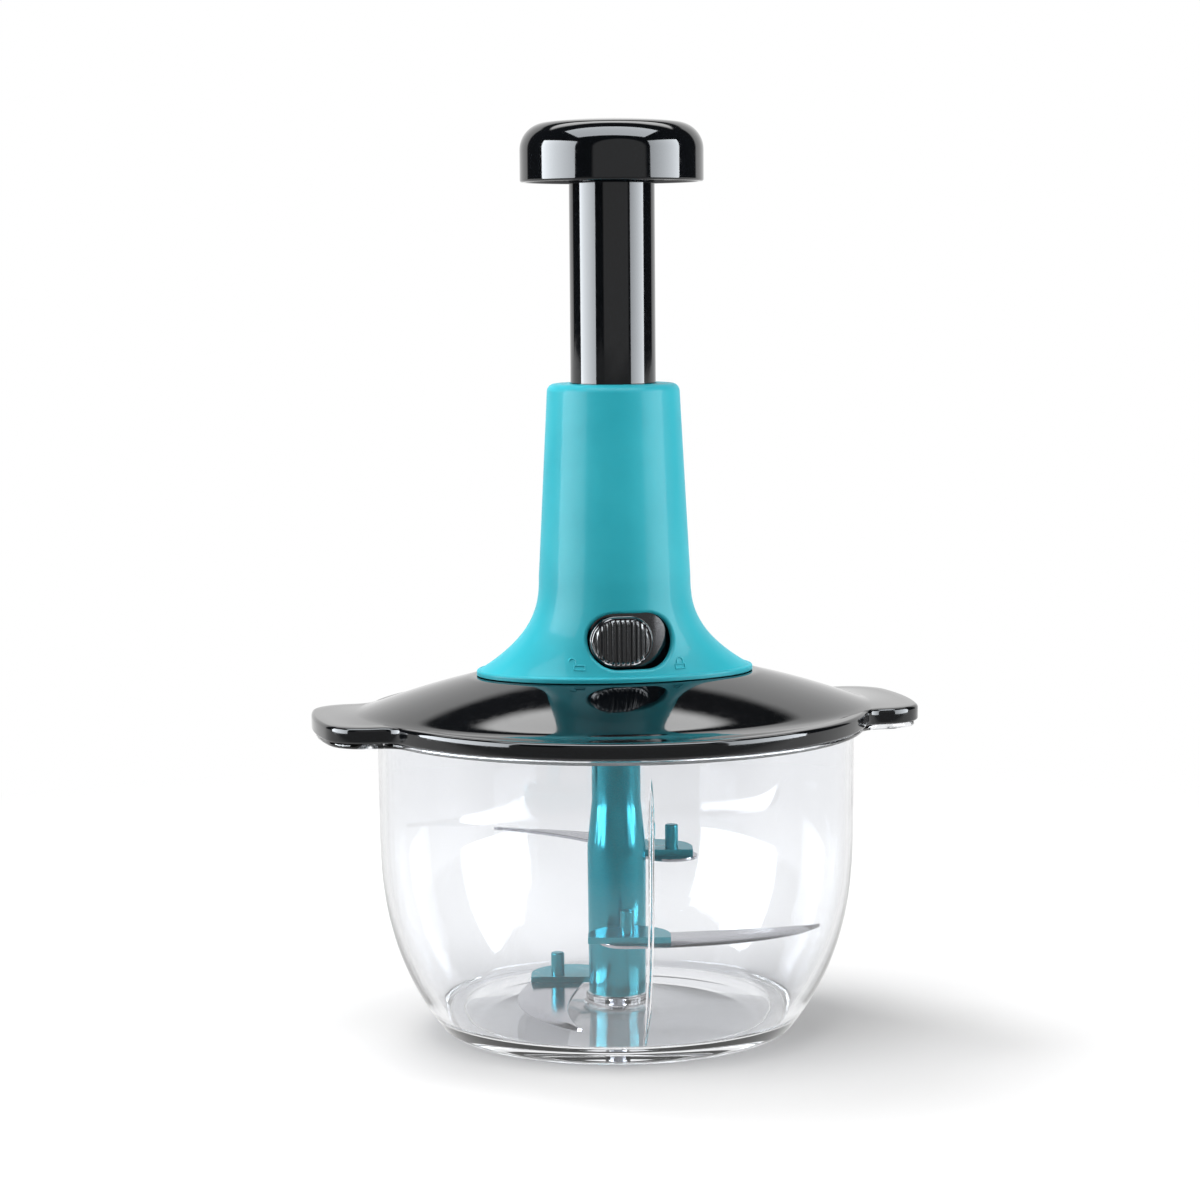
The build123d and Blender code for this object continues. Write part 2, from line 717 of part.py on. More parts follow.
with BuildPart() as knob_cap:
    with BuildSketch(Plane.XZ) as knob_profile:
        with BuildLine():
            crown_edge = (knob_radius, knob_high - knob_crown)
            Polyline((0, knob_high), (0, knob_low), (knob_radius, knob_low), crown_edge)
            TangentArc((0, knob_high), crown_edge, tangent=(1, 0))
        make_face()
        fillet(knob_profile.vertices().sort_by_distance(crown_edge)[0], knob_shoulder)
    revolve(axis=Axis.Z)
    fillet(knob_cap.edges().group_by(Axis.Z)[0], knob_lip_round)
    with BuildSketch(Plane.XZ) as knob_hollow:
        with BuildLine():
            hollow_edge = (knob_radius - knob_wall, knob_high - knob_crown - knob_wall)
            hollow_foot = (knob_radius - knob_wall, knob_low)
            Polyline((0, knob_high - knob_wall), (0, knob_low), hollow_foot, hollow_edge)
            TangentArc((0, knob_high - knob_wall), hollow_edge, tangent=(1, 0))
        make_face()
        fillet(knob_hollow.vertices().sort_by_distance(hollow_edge)[0], knob_shoulder - knob_wall)
    revolve(axis=Axis.Z, mode=Mode.SUBTRACT)
    with BuildSketch(Plane.XY.offset(knob_plate_high)):
        with PolarLocations(knob_screw_circle, 3, start_angle=90):
            Circle(screw_radius + screw_boss_wall)
    extrude(amount=knob_high - knob_wall - knob_plate_high)
    with BuildSketch(Plane.XY.offset(knob_plate_high)):
        with PolarLocations(knob_screw_circle, 3, start_angle=90):
            Circle(screw_radius)
    extrude(amount=knob_screw_depth + screw_short, mode=Mode.SUBTRACT)
save(knob_cap, "knob_cap")

with BuildPart() as knob_base:
    with BuildSketch(Plane.XY.offset(knob_plate_low)):
        Circle(knob_radius - knob_wall - snug_gap)
        Circle(tube_radius, mode=Mode.SUBTRACT)
    extrude(amount=knob_plate)
    with BuildSketch(Plane.XY.offset(knob_plate_low)):
        Circle(tube_radius + knob_collar)
        Circle(tube_radius, mode=Mode.SUBTRACT)
    extrude(amount=tube_high - knob_plate_low)
    with BuildSketch(Plane.XY.offset(knob_plate_low)):
        with PolarLocations(knob_screw_circle, 3, start_angle=90):
            Circle(screw_radius)
    extrude(amount=knob_plate, mode=Mode.SUBTRACT)
save(knob_base, "knob_base")

with BuildPart() as knob_screws:
    with BuildSketch(Plane.XY.offset(knob_plate_low - knob_screw_head)):
        with PolarLocations(knob_screw_circle, 3, start_angle=90):
            Circle(screw_head_radius)
    extrude(amount=knob_screw_head)
    with BuildSketch(Plane.XY.offset(knob_plate_low)):
        with PolarLocations(knob_screw_circle, 3, start_angle=90):
            Circle(screw_radius)
    extrude(amount=knob_plate + knob_screw_depth)
save(knob_screws, "knob_screws")

with BuildPart() as rod_anchor:
    with BuildSketch(Plane.XY.offset(anchor_low)):
        Circle(tube_bore)
        Rectangle(rod_width, rod_thickness, rotation=-360.0 * twist_top / rod_pitch, mode=Mode.SUBTRACT)
    extrude(amount=anchor_high - anchor_low)
save(rod_anchor, "rod_anchor")

rod_twist = twisted_bar(rod_width, rod_thickness, rod_low_end, twist_top)
with BuildPart() as twist_rod:
    add(rod_twist)
    with BuildSketch(Plane.XY.offset(twist_top)):
        Rectangle(rod_width, rod_thickness, rotation=-360.0 * twist_top / rod_pitch)
    extrude(amount=anchor_high - twist_top)
save(twist_rod, "twist_rod")

with BuildPart() as rod_clip:
    with BuildSketch(Plane.XY.offset(anchor_high)):
        Circle(tube_bore - clip_margin)
    extrude(amount=clip_thickness)
save(rod_clip, "rod_clip")

spring_rise = anchor_low - seat_high - spring_wire
with BuildPart() as return_spring:
    with BuildLine() as spring_coil:
        Helix(spring_pitch, spring_rise, spring_radius, center=(0, 0, seat_high + spring_wire / 2))
    with BuildSketch(Plane(origin=spring_coil.line @ 0, z_dir=spring_coil.line % 0)):
        Circle(spring_wire / 2)
    sweep(is_frenet=True)
save(return_spring, "return_spring")

# ---------------------------------------------------------------- lock

plate_left = -(lock_travel + tube_radius - groove_depth + slide_gap + plate_end)
plate_right = keyhole_radius + plate_end
tab_front = -button_back
peg_place = (button_shift, tab_front + peg_radius + peg_margin)
plate_high = plate_low + plate_thickness

with BuildPart() as lock_plate:
    with BuildSketch(Plane.XY.offset(plate_low)):
        with Locations(((plate_left + plate_right) / 2, 0)):
            SlotOverall(plate_right - plate_left, 2 * plate_half_width)
        with Locations((button_shift, (tab_front - plate_half_width + tab_root) / 2)):
            Rectangle(2 * tab_half_width, -tab_front - plate_half_width + tab_root)
        Circle(keyhole_radius, mode=Mode.SUBTRACT)
        with Locations((-lock_travel, 0)):
            Circle(tube_radius - groove_depth + slide_gap, mode=Mode.SUBTRACT)
        with Locations(peg_place):
            Circle(peg_radius, mode=Mode.SUBTRACT)
    extrude(amount=plate_thickness)
save(lock_plate, "lock_plate")

with BuildPart() as grip:
    with BuildSketch(Plane.XZ.offset(button_back + grip_root)):
        with Locations((button_shift, button_centre)):
            with GridLocations(grip_rib_pitch, grip_rib_pitch, grip_ribs, 1):
                Rectangle(grip_rib_width, button_height)
            SlotOverall(button_width - 2 * grip_rim, button_height - 2 * grip_rim, mode=Mode.INTERSECT)
    extrude(amount=button_front + grip_rib_proud - button_back - grip_root)
    with Locations((button_shift, button_curve - button_front, button_centre)):
        Cylinder(button_curve + grip_rib_proud, 2 * button_height, mode=Mode.INTERSECT)

with BuildPart() as lock_button:
    with BuildSketch(Plane.XZ.offset(button_back)):
        with Locations((button_shift, button_centre)):
            SlotOverall(button_width, button_height)
    extrude(amount=button_front - button_back)
    with Locations((button_shift, button_curve - button_front, button_centre)):
        Cylinder(button_curve, 2 * button_height, mode=Mode.INTERSECT)
    add(grip.part)
    with BuildSketch(Plane.XY.offset(plate_high)):
        with Locations((button_shift, tab_front + stem_setback)):
            Rectangle(2 * stem_half_width, stem_depth)
    extrude(amount=stem_height)
    with BuildSketch(Plane.XY.offset(plate_low)):
        with Locations(peg_place):
            Circle(peg_radius)
    extrude(amount=plate_thickness)
save(lock_button, "lock_button")

slot_half = tab_half_width + lock_travel / 2 + 2 * slide_gap
with BuildPart() as switch_bezel:
    with BuildSketch(Plane.XY.offset(bezel_low)):
        Ellipse(bezel_length, bezel_width)
        Ellipse(bezel_length - bezel_wall, bezel_width - bezel_wall, mode=Mode.SUBTRACT)
        with Locations((0, -bezel_width)):
            Rectangle(opening_width + 2 * bezel_lap, 2 * bezel_depth, mode=Mode.INTERSECT)
    extrude(amount=bezel_high - bezel_low)
    with BuildSketch(Plane.XZ.offset(bezel_width - bezel_depth)):
        with Locations((0, (plate_low + plate_high + stem_height) / 2)):
            Rectangle(2 * slot_half, plate_thickness + stem_height + 2 * slide_gap)
    extrude(amount=2 * bezel_depth, mode=Mode.SUBTRACT)
save(switch_bezel, "switch_bezel")

guide_half_length = housing_screw_x - screw_radius - screw_boss_wall - guide_gap
guide_half_width = plate_half_width + slide_gap + guide_lip
with BuildPart() as lock_guide:
    with BuildSketch(Plane.XY.offset(platform)):
        RectangleRounded(2 * guide_half_length, 2 * guide_half_width, guide_corner)
        Circle(keyhole_radius + slide_gap, mode=Mode.SUBTRACT)
        with Locations((0, -guide_half_width)):
            Rectangle(opening_width + 3 * bezel_lap, 2 * (guide_half_width - tube_radius), mode=Mode.SUBTRACT)
    extrude(amount=plate_low - seat_gap - platform)
    with BuildSketch(Plane.XY.offset(plate_low - seat_gap)):
        with Locations((0, guide_half_width - guide_lip / 2)):
            Rectangle(2 * (guide_half_length - guide_lip_inset), guide_lip)
    extrude(amount=plate_thickness)
save(lock_guide, "lock_guide")

# ---------------------------------------------------------------- blade unit

# Each arm: its height, the heading of its pin, where its pad's straight edge lies from the pin,
# and its blade's tip, as a gap to the bowl's wall and a sweep past the pin.
arms = {
    "upper": {"height": upper_arm, "heading": 27.0, "pad": (upper_pad_shift, side_pad_edge),
              "tip": (upper_tip_gap, 101.0)},
    "middle": {"height": middle_arm, "heading": 279.0, "pad": (middle_pad_shift, middle_pad_edge),
               "tip": (middle_tip_gap, 81.0)},
    "lower": {"height": lower_arm, "heading": 166.0, "pad": (lower_pad_shift, side_pad_edge),
              "tip": (lower_tip_gap, 93.0)},
}

with BuildPart() as blade_shaft:
    with BuildSketch(Plane.XZ):
        Polygon(
            (0, shaft_low),
            (shaft_foot_radius, shaft_low),
            (shaft_radius, shoulder_low),
            (shaft_neck_radius, shoulder_high),
            (shaft_neck_radius, hex_low),
            (0, hex_low),
            align=None,
        )
    revolve(axis=Axis.Z)
    with BuildSketch(unit_plane(hex_low)):
        RegularPolygon(hex_flats / 2, 6, major_radius=False)
    extrude(amount=hex_length)
    for arm in arms.values():
        pin_x, pin_y = pin_place(arm)
        with BuildSketch(unit_plane(arm["height"])):
            with Locations((pin_x + arm["pad"][0], pin_y + arm["pad"][1])):
                Rectangle(pad_width, pad_straight, align=(Align.CENTER, Align.MIN))
            with Locations((pin_x + arm["pad"][0], pin_y + arm["pad"][1] + pad_straight)):
                Circle(pad_width / 2)
            with Locations((pin_x + arm["pad"][0], pin_y + arm["pad"][1])):
                Rectangle(2 * pad_width, pad_width, align=(Align.CENTER, Align.MAX), mode=Mode.SUBTRACT)
        extrude(amount=pad_thickness)
        with BuildSketch(unit_plane(arm["height"])):
            with Locations((pin_x, pin_y)):
                Circle(pin_radius)
        extrude(amount=pad_thickness, mode=Mode.SUBTRACT)
    with BuildSketch(Plane.XY.offset(bore_floor)):
        Circle(bore_radius)
    extrude(amount=hex_high - bore_floor, mode=Mode.SUBTRACT)
    with BuildSketch(Plane.XY.offset(shaft_low)):
        Circle(pivot_radius + fit_gap + bush_wall)
    extrude(amount=pivot_high + bush_end_gap - shaft_low, mode=Mode.SUBTRACT)
save(blade_shaft, "blade_shaft")

with BuildPart() as pivot_bush:
    with BuildSketch(Plane.XY.offset(shaft_low)):
        Circle(pivot_radius + fit_gap + bush_wall)
        Circle(pivot_radius + fit_gap, mode=Mode.SUBTRACT)
    extrude(amount=pivot_high + bush_end_gap - shaft_low)
save(pivot_bush, "pivot_bush")

for arm_name, arm in arms.items():
    pin_x, pin_y = pin_place(arm)
    tip_gap, tip_sweep = arm["tip"]
    tip_radius = belly_radius(arm["height"], inner_wall, inner_base, bowl_floor) - tip_gap
    tip_u = tip_radius * cos(radians(tip_sweep)) - pin_circle
    tip_v = tip_radius * sin(radians(tip_sweep))
    blade_low = arm["height"] - blade_thickness
    turn = radians(blade_turn)
    blade_plane = Plane(
        origin=(pin_x * cos(turn) - pin_y * sin(turn), pin_x * sin(turn) + pin_y * cos(turn), blade_low),
        x_dir=(cos(turn + radians(arm["heading"])), sin(turn + radians(arm["heading"])), 0),
        z_dir=(0, 0, 1),
    )
    with BuildPart() as blade:
        with BuildSketch(blade_plane):
            with BuildLine():
                ThreePointArc((-heel_radius, 0), (0, -heel_radius), (heel_radius, 0))
                Bezier((heel_radius, 0), (heel_radius + heel_swell, outer_handles[0] * tip_v),
                       (outer_handles[1] * tip_u + tip_lean, outer_handles[2] * tip_v), (tip_u, tip_v))
                Bezier((tip_u, tip_v), (inner_handles[1] * tip_u - tip_lean, inner_handles[2] * tip_v),
                       (-heel_radius - heel_hollow, inner_handles[0] * tip_v), (-heel_radius, 0))
            make_face()
            Circle(pin_radius, mode=Mode.SUBTRACT)
            with Locations(blade_plane.to_local_coords(Vector(0, 0, blade_low))):
                Circle(shaft_radius + snug_gap, mode=Mode.SUBTRACT)
        extrude(amount=blade_thickness)
    save(blade, f"{arm_name}_blade")
    with BuildPart() as blade_pin:
        with BuildSketch(blade_plane):
            Circle(pin_radius)
        extrude(amount=blade_thickness + pad_thickness + pin_proud)
        fillet(blade_pin.edges().group_by(Axis.Z)[-1], pin_round)
    save(blade_pin, f"{arm_name}_blade_pin")
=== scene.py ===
# %% [markdown]
# # Plunger food chopper
# The object is a hand-press chopper: a clear bowl, a black eared lid, a cyan push housing and a
# palm knob on a tube. The imported CAD model is loaded as a fixed frame first, so that every surface
# made here goes where the mechanism needs it. The dressed model has to stay inside it.

# %% Load the frame
import json
from contextlib import contextmanager
from math import cos, pi, radians, sin

import bmesh
import bpy
import numpy as np
from mathutils import Matrix, Vector


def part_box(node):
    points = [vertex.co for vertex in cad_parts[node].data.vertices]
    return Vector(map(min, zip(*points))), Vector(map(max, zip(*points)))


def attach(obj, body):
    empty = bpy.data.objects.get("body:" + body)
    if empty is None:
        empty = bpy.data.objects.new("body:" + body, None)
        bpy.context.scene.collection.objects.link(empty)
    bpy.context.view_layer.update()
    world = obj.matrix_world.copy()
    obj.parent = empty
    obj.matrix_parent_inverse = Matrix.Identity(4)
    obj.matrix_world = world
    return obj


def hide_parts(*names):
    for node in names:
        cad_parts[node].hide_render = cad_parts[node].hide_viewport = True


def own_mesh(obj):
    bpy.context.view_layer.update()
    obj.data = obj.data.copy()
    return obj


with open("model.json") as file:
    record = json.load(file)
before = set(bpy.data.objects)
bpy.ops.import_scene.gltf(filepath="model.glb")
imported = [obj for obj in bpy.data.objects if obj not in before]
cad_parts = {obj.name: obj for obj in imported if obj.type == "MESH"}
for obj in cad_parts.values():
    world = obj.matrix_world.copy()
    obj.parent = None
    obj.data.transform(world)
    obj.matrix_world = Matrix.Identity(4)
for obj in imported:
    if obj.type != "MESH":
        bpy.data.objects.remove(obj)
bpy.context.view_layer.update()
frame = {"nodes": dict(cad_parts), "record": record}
cad = frame["nodes"]
MM = 0.001

# %% [markdown]
# ## Camera
# A product shot from a little above and a little left of the button side, with a long lens, so
# that the upright tube and the ellipses of the lid stay calm. Position and direction are worked
# out from a heading, a distance and a height.

# %% Camera
view_heading = radians(-102.0)     # from the object's axis to the camera
view_distance = 0.997
view_height = 0.244
view_pitch = radians(6.12)         # down
view_turn = radians(0.27)          # to the left, past the axis
view_roll = radians(-0.45)

camera_data = bpy.data.cameras.new("camera")
camera_data.lens = 94.5
camera_data.sensor_width = 36.0
camera = bpy.data.objects.new("camera", camera_data)
turn = Matrix.Rotation(view_heading + pi / 2 + view_turn, 4, "Z")
tilt = Matrix.Rotation(pi / 2 - view_pitch, 4, "X")
place = Matrix.Translation((view_distance * cos(view_heading), view_distance * sin(view_heading), view_height))
camera.matrix_world = place @ turn @ tilt @ Matrix.Rotation(view_roll, 4, "Z")
bpy.context.collection.objects.link(camera)
bpy.context.scene.camera = camera
bpy.context.scene.view_settings.view_transform = "Standard"
print("camera at", [round(v, 3) for v in camera.location])

# %% [markdown]
# ## Three helpers for materials
# Colours are written as sRGB hex values, the way a colour picker gives them, and turned into the
# linear values that the renderer mixes. Nodes are added by one function, which sets values and
# makes links in the same call.


# %% Colour and node helpers
def linear(hex_colour):
    """sRGB hex to linear RGBA: below 0.04045 divide by 12.92, above it the 2.4 power curve."""
    values = np.array([int(hex_colour[i:i + 2], 16) for i in (1, 3, 5)]) / 255
    curved = np.where(values <= 0.04045, values / 12.92, ((values + 0.055) / 1.055) ** 2.4)
    return (*map(float, curved), 1.0)


def node(tree, kind, settings=None, **sockets):
    """Adds a node, and gives its sockets values or links.

    settings are its properties, or one word for its operation. A socket goes by its name, or by
    its place, as _0. It takes a value, an output, or a node, which stands for its first output.
    """
    made = tree.nodes.new("ShaderNode" + kind)
    if isinstance(settings, str):
        settings = {"operation": settings}
    for name, value in (settings or {}).items():
        setattr(made, name, value)
    inputs = [socket for socket in made.inputs if socket.enabled]
    for name, value in sockets.items():
        if name[0] == "_":
            socket = inputs[int(name[1:])]
        else:
            socket = next(socket for socket in inputs if socket.name == name.replace("_", " "))
        if isinstance(value, bpy.types.Node):
            value = next(output for output in value.outputs if output.enabled)
        if isinstance(value, bpy.types.NodeSocket):
            tree.links.new(value, socket)
        else:
            socket.default_value = value
    return made


def new_material(name):
    """A material with an empty node tree, and that tree."""
    made = bpy.data.materials.new(name)
    made.use_nodes = True
    made.node_tree.nodes.clear()
    return made, made.node_tree


white = linear("#FFFFFF")
eased = {"interpolation_type": "SMOOTHSTEP"}
colours = {"data_type": "RGBA"}
some_depth = 0.5                   # ray depths are whole numbers: over this means at least one

# %% [markdown]
# ## Studio
# Glossy black plastic has hardly any colour of its own: what the eye reads as its shape is the
# studio that it mirrors. So the studio is drawn by direction. Behind the object hangs a pale sweep,
# with a dark gap above it and a bright panel over that. The side behind the camera is dark, but for
# a dim card round the lens.
# Straight views and views through clear plastic meet white. Once a ray has been mirrored it meets
# the drawn studio, also when it then leaves through the bowl, and matt surfaces get an even level.

# %% World
world = bpy.data.worlds.new("studio")
bpy.context.scene.world = world
world.use_nodes = True
world.cycles.sampling_method = "NONE"
air = world.node_tree
air.nodes.clear()

away = Vector((-cos(view_heading), -sin(view_heading), 0.0))
card_heading = view_heading + radians(10.0)
card_side = Vector((cos(card_heading), sin(card_heading), 0.0))
ambient = 0.15
sweep_level, panel_level, card_level, dark_level = 1.05, 3.9, 0.55, 0.03
sweep_edge = [cos(radians(angle)) for angle in (52.0, 47.0)]    # off the line away from the camera
panel_edge = (0.36, 0.5)                                        # cosines, as above
card_edge = [cos(radians(angle)) for angle in (36.0, 31.0)]     # off the card's own heading
sweep_top = [sin(radians(angle)) for angle in (33.0, 37.0)]     # heights on the unit sphere
panel_foot = [sin(radians(angle)) for angle in (43.0, 46.0)]
panel_head = [sin(radians(angle)) for angle in (57.0, 63.0)]

rays = node(air, "LightPath")
ahead = node(air, "TexCoord").outputs["Generated"]
facing = node(air, "VectorMath", "DOT_PRODUCT", _0=ahead, _1=away)
height = node(air, "SeparateXYZ", Vector=ahead).outputs["Z"]
sweep_sides = node(air, "MapRange", eased, Value=facing, From_Min=sweep_edge[0], From_Max=sweep_edge[1])
sweep_high = node(air, "MapRange", eased, Value=height, From_Min=sweep_top[0], From_Max=sweep_top[1],
                  To_Min=sweep_level, To_Max=0.0)
sweep = node(air, "Math", "MULTIPLY", _0=sweep_sides, _1=sweep_high)
panel_sides = node(air, "MapRange", eased, Value=facing, From_Min=panel_edge[0], From_Max=panel_edge[1])
panel_low = node(air, "MapRange", eased, Value=height, From_Min=panel_foot[0], From_Max=panel_foot[1],
                 To_Max=panel_level)
panel_high = node(air, "MapRange", eased, Value=height, From_Min=panel_head[0], From_Max=panel_head[1],
                  To_Min=1.0, To_Max=0.0)
panel_band = node(air, "Math", "MULTIPLY", _0=panel_low, _1=panel_high)
panel = node(air, "Math", "MULTIPLY", _0=panel_sides, _1=panel_band)
drawn = node(air, "Math", "ADD", _0=sweep, _1=panel)
card_facing = node(air, "VectorMath", "DOT_PRODUCT", _0=ahead, _1=card_side)
card = node(air, "MapRange", eased, Value=card_facing, From_Min=card_edge[0], From_Max=card_edge[1],
            To_Min=dark_level, To_Max=card_level)
drawn = node(air, "Math", "MAXIMUM", _0=drawn, _1=card)
mirrored = node(air, "Math", "GREATER_THAN", _0=rays.outputs["Glossy Depth"], _1=some_depth)
scattered = node(air, "Math", "GREATER_THAN", _0=rays.outputs["Diffuse Depth"], _1=some_depth)
clear_view = node(air, "Mix", Factor=mirrored, A=1.0, B=drawn)
strength = node(air, "Mix", Factor=scattered, A=clear_view, B=ambient)
node(air, "OutputWorld", Surface=node(air, "Background", Color=white, Strength=strength))
print("studio drawn by direction:", len(air.nodes), "nodes")


# %% Soft boxes
def soft_box(name, heading, rise, distance, width, height, radiance, mirror_share=None):
    """A rectangle of light at a heading and a rise from the object, turned towards it.

    Its power is radiance x pi x area. A box with a mirror share shows in gloss only: its glow goes
    from the first to the second share across its width, and it is out for rays that a matt surface
    scattered, which may reach it through clear plastic. The others light matt surfaces only.
    """
    data = bpy.data.lights.new(name, "AREA")
    data.shape = "RECTANGLE"
    data.size = width
    data.size_y = height
    data.energy = radiance * pi * width * height
    for_mirrors = mirror_share is not None
    if for_mirrors:
        data.color = (0.90, 0.95, 1.0)
        data.use_nodes = True
        wires = data.node_tree
        wires.nodes.clear()
        path = node(wires, "LightPath")
        unscattered = node(wires, "Math", "LESS_THAN", _0=path.outputs["Diffuse Depth"], _1=some_depth)
        across = node(wires, "SeparateXYZ", Vector=node(wires, "NewGeometry").outputs["Parametric"])
        share = node(wires, "MapRange", Value=across, To_Min=mirror_share[0], To_Max=mirror_share[1])
        level = node(wires, "Math", "MULTIPLY", _0=unscattered, _1=share)
        node(wires, "OutputLight", Surface=node(wires, "Emission", Strength=level))
    lamp = bpy.data.objects.new(name, data)
    offset = Vector((cos(heading) * cos(rise), sin(heading) * cos(rise), sin(rise))) * distance
    lamp.location = box_aim + offset
    lamp.rotation_mode = "QUATERNION"
    lamp.rotation_quaternion = offset.to_track_quat("Z", "Y")
    lamp.visible_camera = False
    lamp.visible_transmission = for_mirrors
    lamp.visible_glossy = for_mirrors
    lamp.visible_diffuse = not for_mirrors
    bpy.context.collection.objects.link(lamp)


box_aim = Vector((0.0, 0.0, 0.14))
boxes = [    # name, heading past the camera's, rise, distance, width, height, radiance, mirror share
    ("left_gloss", -71.0, 10.0, 1.2, 1.12, 0.9, 15.0, (1.15, 0.6)),
    ("right_gloss", 70.5, 10.0, 1.2, 0.95, 0.9, 12.0, (0.55, 1.15)),
    ("top_gloss", 0.0, 72.0, 1.2, 1.7, 0.85, 9.0, (0.9, 1.0)),
    ("left_light", -88.0, 26.0, 1.2, 0.9, 0.9, 3.7),
    ("right_light", 86.0, 14.0, 1.2, 0.9, 0.9, 4.3),
    ("front_top_light", -20.0, 66.0, 1.2, 0.8, 0.8, 2.0),
    ("top_light", -10.0, 86.0, 1.2, 0.8, 0.8, 2.0),
    ("back_light", -140.0, 60.0, 1.3, 0.5, 0.5, 11.0),
]
for name, heading, rise, *rest in boxes:
    soft_box(name, view_heading + radians(heading), radians(rise), *rest)
print(len(boxes), "soft boxes placed")

# %% [markdown]
# The floor is a white card. Near the object its white comes from the light on it, so that it
# holds the object's shadow, and further out it glows by itself, so that it runs into the white
# background. A mirrored ray meets an even glow, dimmer far in front, on the camera's side. Rays
# that a matt surface scattered meet a plain white card.

# %% Floor
floor_reach = 6.0
shadow_reach = 0.22                # inside this radius the card's white comes from light
fade_reach = 2.4 * shadow_reach    # and past this one from its own glow
shadow_share = 0.80                # reflected
own_glow = 0.14
mirrored_glow, far_front_glow = 1.0, 0.3
front_fade = (-0.34, -0.14)        # where one goes into the other, along the view
plain_share = 0.8

floor_mesh = bpy.data.meshes.new("floor")
floor_mesh.from_pydata([(-floor_reach, -floor_reach, 0), (floor_reach, -floor_reach, 0),
                        (floor_reach, floor_reach, 0), (-floor_reach, floor_reach, 0)], [], [(0, 1, 2, 3)])
floor = bpy.data.objects.new("floor", floor_mesh)
bpy.context.collection.objects.link(floor)

floor_card, tree = new_material("white studio card")
place = node(tree, "TexCoord").outputs["Object"]
rays = node(tree, "LightPath")
reach = node(tree, "VectorMath", "LENGTH", _0=place)
fade = node(tree, "MapRange", eased, Value=reach, From_Min=shadow_reach, From_Max=fade_reach)
matt = node(tree, "BsdfDiffuse", Color=(shadow_share, shadow_share, shadow_share, 1.0))
lit = node(tree, "AddShader", _0=matt, _1=node(tree, "Emission", Color=white, Strength=own_glow))
seen_floor = node(tree, "MixShader", Fac=fade, _1=lit, _2=node(tree, "Emission", Color=white))
mirrored = node(tree, "Math", "GREATER_THAN", _0=rays.outputs["Glossy Depth"], _1=some_depth)
depth = node(tree, "VectorMath", "DOT_PRODUCT", _0=place, _1=away)
glow = node(tree, "MapRange", Value=depth, From_Min=front_fade[0], From_Max=front_fade[1],
            To_Min=far_front_glow, To_Max=mirrored_glow)
seen_floor = node(tree, "MixShader", Fac=mirrored, _1=seen_floor,
                  _2=node(tree, "Emission", Color=white, Strength=glow))
scattered = node(tree, "Math", "GREATER_THAN", _0=rays.outputs["Diffuse Depth"], _1=some_depth)
plain_floor = node(tree, "BsdfDiffuse", Color=(plain_share, plain_share, plain_share, 1.0))
node(tree, "OutputMaterial", Surface=node(tree, "MixShader", Fac=scattered, _1=seen_floor, _2=plain_floor))
floor_mesh.materials.append(floor_card)
print("floor card", 2 * floor_reach, "m wide")

# %% [markdown]
# ## Plastics and metals
# Each finish is one of the record's slots, named for the real material. The moulded parts share
# one truth: polished tool steel leaves a mirror skin, and what breaks it up is a slow waviness of
# the skin and a little haze, both too small to see except in how a reflection moves. A pattern's
# scale is one over its size in metres.

# %% Black ABS
# ABS moulded in a mirror-polished tool. The eye gets a near black body, crisp reflections, a
# faint waviness about 12 mm long where the wall cooled unevenly, and a haze in 2 mm patches.
black_abs, tree = new_material("polished black ABS")
place = node(tree, "TexCoord").outputs["Object"]
wave = node(tree, "TexNoise", Vector=place, Scale=80.0, Detail=1.0, Roughness=0.4)
skin_wave = node(tree, "Bump", Strength=0.05, Distance=0.0004, Height=wave)
haze = node(tree, "TexNoise", Vector=place, Scale=420.0, Detail=3.0)
gloss = node(tree, "MapRange", Value=haze, From_Min=0.35, From_Max=0.75, To_Min=0.035, To_Max=0.085)
skin = node(tree, "BsdfPrincipled", Base_Color=linear("#07090C"), Roughness=gloss, IOR=1.53, Normal=skin_wave)
node(tree, "OutputMaterial", Surface=skin)

# %% Satin black ABS
# The switch and the plate behind it come from a tool with a fine grain, 0.4 mm across, so their
# highlights are a little softened. The IOR lies above the 1.54 of ABS, because ribs this small
# catch too little light otherwise.
satin_abs, tree = new_material("satin black ABS")
grain = node(tree, "TexNoise", Vector=node(tree, "TexCoord").outputs["Object"], Scale=2600.0)
skin_grain = node(tree, "Bump", Strength=0.12, Distance=0.00005, Height=grain)
skin = node(tree, "BsdfPrincipled", Base_Color=linear("#101216"), Roughness=0.1, IOR=1.9, Normal=skin_grain)
node(tree, "OutputMaterial", Surface=skin)

# %% Cyan ABS
# ABS coloured in the mass with a cyan masterbatch. The pigment isn't quite even, so there are
# slow cloudy shifts about 25 mm long and a few darker specks, 0.6 mm wide. The skin gives the eye
# a wide soft sheen, a faint crisp gloss over it, and an orange peel 4 mm across.
cyan_abs, tree = new_material("glossy cyan ABS")
place = node(tree, "TexCoord").outputs["Object"]
cloud = node(tree, "TexNoise", Vector=place, Scale=38.0, Detail=3.0, Roughness=0.55)
shade = node(tree, "MapRange", Value=cloud, From_Min=0.3, From_Max=0.7)
body = node(tree, "Mix", colours, Factor=shade, A=linear("#2DB2C3"), B=linear("#36BBCB"))
speck_field = node(tree, "TexVoronoi", Vector=place, Scale=90.0)
speck = node(tree, "Math", "LESS_THAN", _0=speck_field, _1=0.028)
speck_share = node(tree, "Math", "MULTIPLY", _0=speck, _1=0.55)
body = node(tree, "Mix", colours, Factor=speck_share, A=body, B=linear("#17697A"))
peel = node(tree, "TexNoise", Vector=place, Scale=240.0)
skin_peel = node(tree, "Bump", Strength=0.06, Distance=0.0002, Height=peel)
